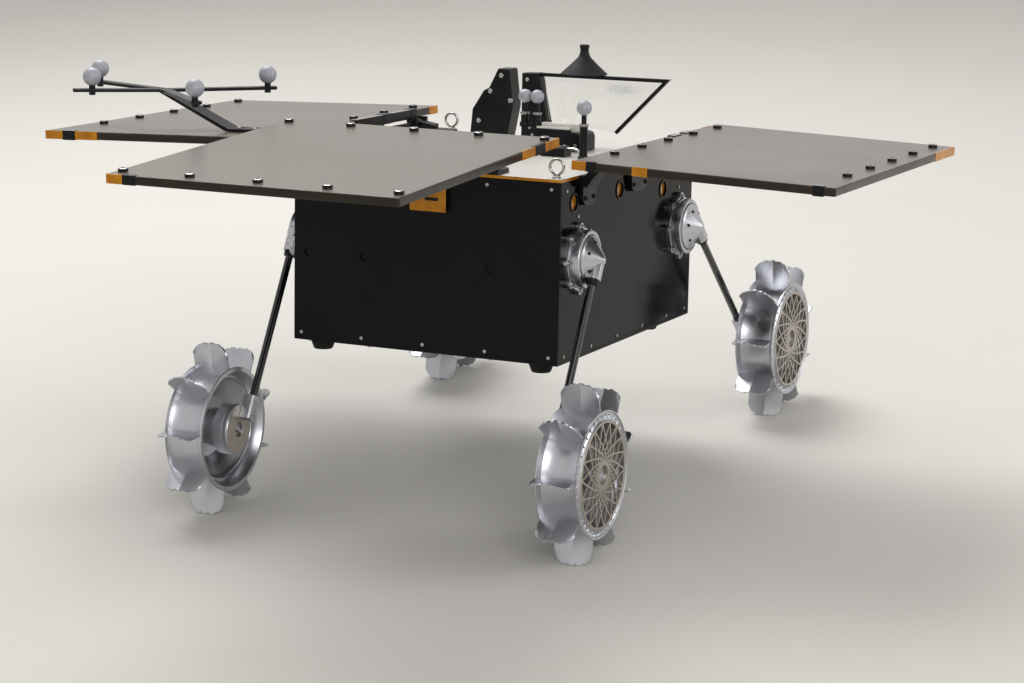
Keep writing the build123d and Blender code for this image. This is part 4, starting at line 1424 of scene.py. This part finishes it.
@dataclass
class DeckFittings:
    """Everything that stands on the deck, in the body's frame."""

    deck: float = 222.0
    eye_x: float = 166.0
    eye_y: float = 196.0
    mast_y: float = 112.0
    mast_depth: float = 16.0
    window_height: float = 92.0
    bars: Profile = ((0, 91), (180, 92), (108, 18), (104.8, 21.1), (169.2, 87.3), (0, 86.5))
    pane: Profile = ((5, 87.4), (171, 88.6), (105.8, 20.2), (12.7, 31.1))
    box: tuple[float, float, float, float, float] = (14.0, 52.0, 88.0, 96.0, 24.0)
    ball: float = 8.7
    stem: float = 4.0
    collar_drop: float = 23.0
    tower_front: float = 152.0
    tower_top: float = 80.0
    tower_shift: Spot = (8.0, 0.0, 3.0)
    tower_screws: Profile = ((-87.7, 59.7), (-58.5, 48.9), (-72.0, 81.0), (-104.0, 20.0))
    mast_screws: Profile = ((-11.0, 20.7), (-16.0, 82.0))
    cone_x: float = 60.0
    cone: Profile = ((0, 30), (0.8, 30), (1.6, 29.4), (13, 17.1), (22, 8.1), (26, 6.3), (30, 5.4),
                     (33, 5.6), (36, 6.4), (37.4, 6.2), (38, 5.4))
    box_screws: Profile = ((20.0, 18.0), (20.0, 5.0), (80.0, 8.0))
    strips: tuple[tuple[float, ...], ...] = ((25, 53, 70, 58, 27, 29.5), (29, 60, 84, 68, 24, 34),
                                             (34, 76, 76, 84, 24, 31))
    pipe_start: Spot = (91.0, 4.0, 9.0)
    pipe: tuple[Spot, ...] = ((0, 0, 0), (7, -1, 1), (14, -3, 0.2), (19, -5, -3), (21, -7, -8))
    pipe_radius: float = 1.9
    near_post: tuple[float, float] = (116.0, -5.0)

    def eyes(self) -> None:
        """Two lifting eyes on shouldered shanks."""
        for name, side in (("front", 1), ("rear", -1)):
            x, y, z = side * self.eye_x, -side * self.eye_y, self.deck
            foot = Bench.turned([(0, 5), (2.2, 5), (3, 4.2), (3.2, 2.7), (5.4, 2.5)], 32, hollow=False)
            Bench.moved(foot, Aim.UP.stood_at(x, y, z))
            bpy.ops.mesh.primitive_torus_add(major_radius=8.8, minor_radius=1.8, major_segments=56,
                                             minor_segments=16, location=(x, y, z + 13),
                                             rotation=(pi / 2, 0, 0))
            ring = Bench.settle(bpy.context.object)
            on_body([Bench.dressed(foot, STEEL), Bench.dressed(ring, STEEL)], f"eye_bolt_{name}",
                    Slot.STEEL, f"lifting_eye_{name}")

    def refined(self, node: str, finish: Finish, easing: float) -> Piece:
        """Copies a CAD node, and rounds its edges."""
        return Bench.finished(Bench.from_cad(node, STANCE.body), easing, finish)

    def tower_and_mast(self) -> None:
        """Cable tower and mast plate with their screws and clamps."""
        tower = self.refined("cable_tower", ANODISED, 0.8)
        with Edit(tower, Parts.VERT) as edit:
            edit.pick(lambda place, normal: place.z > self.deck + self.tower_top)
            bpy.ops.transform.translate(value=self.tower_shift)
        heads = Screw(3.2, 2.0).row([Aim.FRONT.at(x, self.tower_front, self.deck + z)
                                     for x, z in self.tower_screws])
        on_body([tower, heads], "cable_tower_black", Slot.SKIN, "cable_tower")
        mast = self.refined("mast_plate", ANODISED, 0.8)
        pair = Screw(2.6, 1.6).row([Aim.FRONT.at(x, self.mast_y, self.deck + z)
                                    for x, z in self.mast_screws])
        on_body([mast, pair], "mast_black", Slot.SKIN, "mast_plate")

    def window(self) -> None:
        """Window frame, clear pane and the cone on top."""
        y = self.mast_y + self.mast_depth / 2
        bars = Bench.plate([(x, y - 3, self.deck + z) for x, z in self.bars], (0, 6, 0))
        on_body([Bench.finished(bars, 0.7, ANODISED)], "window_bars", Slot.SKIN, "window_frame")
        pane = Bench.plate([(x, y - 1, self.deck + z) for x, z in self.pane], (0, 2, 0))
        on_body([Bench.finished(pane, 0.2, ACRYLIC)], "window_sheet", Slot.PANE, "window_pane")
        cone = Bench.turned(self.cone, 56, hollow=False)
        Bench.moved(cone, Aim.UP.stood_at(self.cone_x, y, self.deck + self.window_height + 0.1))
        on_body([Bench.dressed(cone, RUBBER)], "strain_boot", Slot.SKIN, "strain_cone")

    def post(self, x: float, y: float, low: float, high: float, ball: float) -> list[Piece]:
        """A marker ball on its stem.

        Args:
            x: place of the post.
            y: place of the post.
            low: height of its foot.
            high: height of the ball's middle.
            ball: radius of the ball.

        Returns:
            Ball and stem.
        """
        stem = Bench.finished(Bench.rod(self.stem, (x, y, low), (x, y, high - ball * 0.8), 28), 0.4,
                              ANODISED)
        return [Bench.dressed(Bench.ball(ball, (x, y, high)), BEADED), stem]

    def collared(self, x: float, y: float, low: float, high: float, ball: float) -> list[Piece]:
        """A marker ball on a thin stem that a steel collar holds in a thicker sleeve."""
        z = high - self.collar_drop - low
        sleeve = Bench.turned([(0, 5), (z, 5), (z, 3)], 32, hollow=False)
        collar = Bench.turned([(z, 3), (z, 5.6), (z + 0.5, 6), (z + 2.7, 6), (z + 3.2, 5.6), (z + 3.2, 3)],
                              32)
        for part in (sleeve, collar):
            Bench.moved(part, Aim.UP.stood_at(x, y, low))
        stem = Bench.rod(3.2, (x, y, low + z - 1), (x, y, high - ball * 0.8), 28)
        return [Bench.dressed(Bench.ball(ball, (x, y, high)), BEADED), Bench.dressed(sleeve, ANODISED),
                Bench.dressed(collar, STEEL), Bench.dressed(stem, ANODISED)]

    def boxes(self) -> None:
        """Equipment box with its strips, painted white as highlights, connector and bent pipe."""
        d = self.deck
        x0, y0, x1, y1, high = self.box
        case = Bench.block((x0, y0, d), (x1, y1, d + high))
        with Edit(case, Parts.EDGE) as edit:
            edit.pick(lambda middle, way: abs(way.y) > 0.9 and middle.z > d + 1 and middle.x > x0 + 1)
            bpy.ops.mesh.bevel(offset=7, segments=2, affect="EDGES")
        lid = Bench.block((20.3, y0, d + high), (70.4, y0 + 19.7, d + high + 3))
        parts = [Bench.finished(part, 0.8, ANODISED) for part in (case, lid)]
        for low_x, low_y, high_x, high_y, z0, z1 in self.strips:
            strip = Bench.block((low_x, low_y, d + z0), (high_x, high_y, d + z1))
            # The strips are painted white: painted highlights of lit metal edges.
            parts.append(Bench.finished(strip, 0.5, STRIP_WHITE_HIGHLIGHT))
        parts.append(Screw(2.2, 1.3).row([Aim.FRONT.at(x, y0, d + z) for x, z in self.box_screws]))
        on_body(parts, "equipment_box_black", Slot.SKIN, "equipment_box")
        plug = self.refined("deck_connector", ANODISED, 0.5)
        x, y, z = self.pipe_start
        radius = self.pipe_radius
        pipe = [Vector((x, y, d + z)) + Vector(step) for step in self.pipe]
        runs = [Bench.dressed(Bench.rod(radius, tuple(a), tuple(b), 20), PIPE_METAL)
                for a, b in zip(pipe, pipe[1:])]
        bends = [Bench.dressed(Bench.ball(radius, tuple(p)), PIPE_METAL) for p in pipe[1:-1]]
        heads = Screw(1.8, 1.1).row([Aim.UP.at(x, 4, d + 13) for x in (63, 86)])
        on_body([plug, heads, *runs, *bends], "deck_connector_black", Slot.SKIN, "deck_connector")

    def markers(self) -> None:
        """Near post, and the pair on the equipment box."""
        d = self.deck
        foot = Bench.turned([(0, 7), (2.2, 7), (3, 6.2), (3, 3)], 32, hollow=False)
        Bench.moved(foot, Aim.UP.stood_at(*self.near_post, d))
        near = [Bench.dressed(foot, ANODISED), *self.collared(*self.near_post, d + 1, d + 63, 9.5)]
        on_body(near, "marker_post_near", Slot.MARKER, "marker_near")
        y, low = 52 + 59 / 6, d + 27
        bar = Bench.finished(Bench.block((-1.5, y - 3, low), (27.5, y + 3, low + 6)), 0.6, ANODISED)
        parts = [part for x in (4.5, 21.5) for part in self.collared(x, y, low, d + 66, self.ball)]
        on_body([*parts, bar], "marker_post_pair", Slot.MARKER, "marker_pair")

    def build(self) -> None:
        """Builds all the fittings."""
        self.eyes()
        self.tower_and_mast()
        self.window()
        self.boxes()
        self.markers()


@dataclass
class MarkerTree:
    """Strap from the left panel up to four arms with a ball each, in the body's frame."""

    x: float = -384.0
    y: float = -176.0
    arm_z: float = 290.0
    ball_z: float = 309.0
    ball: float = 11.45
    width: float = 14.0
    thick: float = 4.0
    ends: tuple[tuple[float, float], ...] = ((-457.0, -229.0), (-510.0, -131.0), (-275.0, -281.5),
                                             (-294.0, -75.0))
    beyond: tuple[float, ...] = (24.0, 12.0, 12.0, 12.0)

    def strap(self) -> Piece:
        """Bent strap; its foot follows the panel's top as the CAD's does."""
        foot = ((-242.0, 248.5), (-288.0, 246.9))
        (x0, z0), (x1, z1), t = *foot, self.thick
        course = [*foot, (self.x, self.arm_z), (self.x, self.arm_z + t), (x1 + t, z1 + t), (x0, z0 + t)]
        strap = Bench.plate([(x, self.y - 13, z) for x, z in course], (0, 26, 0))
        return Bench.finished(strap, 0.6, ANODISED)

    def arm(self, end: tuple[float, float], beyond: float) -> list[Piece]:
        """Flat arm with the post near its end and the post's nut below.

        Args:
            end: place of the post.
            beyond: how far the bar reaches past it.

        Returns:
            Bar, ball, stem and nut.
        """
        dx, dy = end[0] - self.x, end[1] - self.y
        reach = hypot(dx, dy) + beyond
        bar = Bench.block((0, -self.width / 2, 0), (reach, self.width / 2, self.thick))
        with Edit(bar, Parts.EDGE) as edit:
            edit.pick(lambda middle, way: abs(way.z) > 0.9 and middle.x > 1)
            bpy.ops.mesh.bevel(offset=5, segments=4, affect="EDGES")
        Bench.eased(bar, 0.5)
        Bench.moved(bar, Matrix.Translation((self.x, self.y, self.arm_z))
                    @ Matrix.Rotation(atan2(dy, dx), 4, "Z"))
        nut = Bench.eased(Bench.rod(4.2, (*end, self.arm_z - 4), (*end, self.arm_z + 1), 6), 0.5)
        post = DeckFittings().post(*end, self.arm_z + 1, self.ball_z, self.ball)
        return [Bench.dressed(bar, ANODISED), Bench.dressed(nut, ANODISED), *post]

    def build(self) -> None:
        """Builds the tree."""
        parts = [self.strap()]
        for end, beyond in zip(self.ends, self.beyond):
            parts += self.arm(end, beyond)
        parts.append(Screw(2.6, 1.6).row([Aim.UP.at(x, self.y + s * 7, 252.2) for x in (-250, -272)
                                          for s in (-1, 1)]))
        Bench.fit(parts, "marker_tree_black", "panel_left", Slot.MARKER, STANCE.body, ["marker_tree"])


@dataclass
class Studio:
    """Pale floor, soft light and the camera at the photograph's angle."""

    floor_colour: str = "#d9d6d0"
    eye: Spot = (1.47169, -2.97412, 1.08001)
    ahead: Spot = (-0.41502, 0.87104, -0.26277)
    up: Spot = (-0.09511, 0.24571, 0.96467)
    lens: float = 96.62

    def camera(self) -> None:
        """Sets the camera."""
        data = bpy.data.cameras.new("camera")
        data.sensor_width = 36
        data.lens = self.lens
        data.clip_end = 200
        camera = bpy.data.objects.new("camera", data)
        bpy.context.scene.collection.objects.link(camera)
        back, up = -Vector(self.ahead).normalized(), Vector(self.up)
        right = up.cross(back).normalized()
        turn = Matrix((right, back.cross(right), back)).transposed().to_4x4()
        camera.matrix_world = Matrix.Translation(self.eye) @ turn
        bpy.context.scene.camera = camera

    def floor(self) -> None:
        """Lays a plain floor, pale matt paint."""
        bpy.ops.mesh.primitive_plane_add(size=80)
        floor = bpy.context.object
        floor.name = "floor"
        paint = Finish("pale_floor_paint", self.floor_colour, "#d6d3cd", (0.8, 0.9), cloud=900, grain=3,
                       relief=0.02)
        floor.data.materials.append(paint.material())

    def lamp(self, name: str, place: Spot, target: Spot, size: float, power: float) -> None:
        """Adds one soft square lamp.

        Args:
            name: of the lamp.
            place: where it hangs.
            target: what it looks at.
            size: of its side, in metres.
            power: in watts.
        """
        data = bpy.data.lights.new(name, "AREA")
        data.shape = "SQUARE"
        data.size = size
        data.energy = power
        lamp = bpy.data.objects.new(name, data)
        bpy.context.scene.collection.objects.link(lamp)
        lamp.matrix_world = set_along(Vector(place), Vector(place) - Vector(target))

    def world(self) -> None:
        """Pale surroundings: plain where they are seen or mirrored, dimmer where they light."""
        world = bpy.data.worlds.new("studio")
        world.use_nodes = True
        bpy.context.scene.world = world
        tree = world.node_tree
        path = add_node(tree, "LightPath")
        seen = add_node(tree, "Math", {0: path.outputs["Is Camera Ray"], 1: path.outputs["Is Glossy Ray"]},
                        operation="MAXIMUM")
        seen = add_node(tree, "Math", {0: seen.outputs[0], 1: path.outputs["Is Transmission Ray"]},
                        operation="MAXIMUM")
        strength = add_node(tree, "MapRange", {"Value": seen.outputs[0], "To Min": 0.55, "To Max": 0.8})
        background = tree.nodes["Background"]
        background.inputs["Color"].default_value = linear("#f2f1ef")
        tree.links.new(strength.outputs["Result"], background.inputs["Strength"])

    def build(self) -> None:
        """Sets up camera, floor, lamps and world."""
        self.camera()
        self.floor()
        self.lamp("key", (-1.6, 1.4, 3.2), (0, 0, 0.3), 2.2, 95)
        self.lamp("fill", (2.6, -3.4, 2.4), (0, 0, 0.2), 2.4, 60)
        self.lamp("side", (3.4, 1.2, 1.6), (0, 0, 0.2), 1.6, 32)
        self.world()
        bpy.context.scene.view_settings.view_transform = "Standard"


def spaced(first: float, step: float, count: int = 5) -> tuple[float, ...]:
    """Gives the places of a row of screws."""
    return tuple(first + step * k for k in range(count))


def panels() -> list[SolarPanel]:
    """Gives the three panels with their measured places."""
    front = SolarPanel("front", half=179, depth=404, face=209, gap=9, rise=39.5, droop=3.4, facing=0,
                       knuckles=(Knuckle(-87, 9), Knuckle(7, 24), Knuckle(87, 9)),
                       near_row=spaced(-169, 84.5), far_row=spaced(-169, 84.5),
                       wraps=(Wrap(Side.FAR, -178, -157.5, AMBER_TAPE),
                              Wrap(Side.FAR, -157.5, -141, ANODISED, 0.6, 6),
                              Wrap(Side.HIGH, 219, 320, AMBER_TAPE),
                              Wrap(Side.HIGH, 258, 285, ANODISED, 0.9, 5)),
                       near_inset=20)
    wing = {"half": 233, "depth": 320, "face": 178, "gap": 24, "rise": 16.5}
    right = SolarPanel("right", droop=1.6, facing=90, middle=-5.5,
                       knuckles=(Knuckle(-138, 20), Knuckle(17, 26), Knuckle(159, 9)),
                       near_row=spaced(-150, 84), far_row=spaced(-136, 84),
                       wraps=(Wrap(Side.LOW, 203, 221, AMBER_TAPE),
                              Wrap(Side.LOW, 221, 233, ANODISED, 0.9, 6),
                              Wrap(Side.LOW, 278, 297, AMBER_TAPE),
                              Wrap(Side.LOW, 495, 508, ANODISED, 1.2, 7, STEEL),
                              Wrap(Side.FAR, 145, 227, AMBER_TAPE),
                              Wrap(Side.HINGE, 60, 84, ANODISED, 1.4, 9, STEEL),
                              Wrap(Side.HINGE, 100, 124, ANODISED, 1.4, 9, STEEL),
                              Wrap(Side.HINGE, 178, 200, AMBER_TAPE)), **wing)
    left = SolarPanel("left", droop=2.0, facing=-90, middle=5.5,
                      knuckles=(Knuckle(138, 20), Knuckle(-17, 26), Knuckle(-159, 9)),
                      near_row=spaced(150, -84), far_row=spaced(136, -84),
                      wraps=(Wrap(Side.HIGH, 495, 521, AMBER_TAPE),
                             Wrap(Side.HIGH, 477, 495, ANODISED, 1.2, 7, STEEL),
                             Wrap(Side.HIGH, 444, 477, AMBER_TAPE),
                             Wrap(Side.HINGE, -67, 7, ANODISED, 1.4, 9, STEEL),
                             Wrap(Side.HINGE, -90, -67, ANODISED, 1.8, 12),
                             Wrap(Side.HINGE, -145, -90, ANODISED, 1.4, 9, STEEL),
                             Wrap(Side.HINGE, -162, -145, ANODISED, 1.8, 12),
                             Wrap(Side.HINGE, -226, -200, AMBER_TAPE)), **wing)
    return [front, right, left]


def main() -> None:
    """Builds the studio and every sub-assembly."""
    logging.basicConfig(level=logging.INFO, format="%(message)s")
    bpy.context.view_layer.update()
    Studio().build()
    for assembly in (Chassis(), Shoulder(), Leg(), Wheel(), *panels(), DeckFittings(), MarkerTree()):
        assembly.build()


if __name__ == "__main__":
    main()
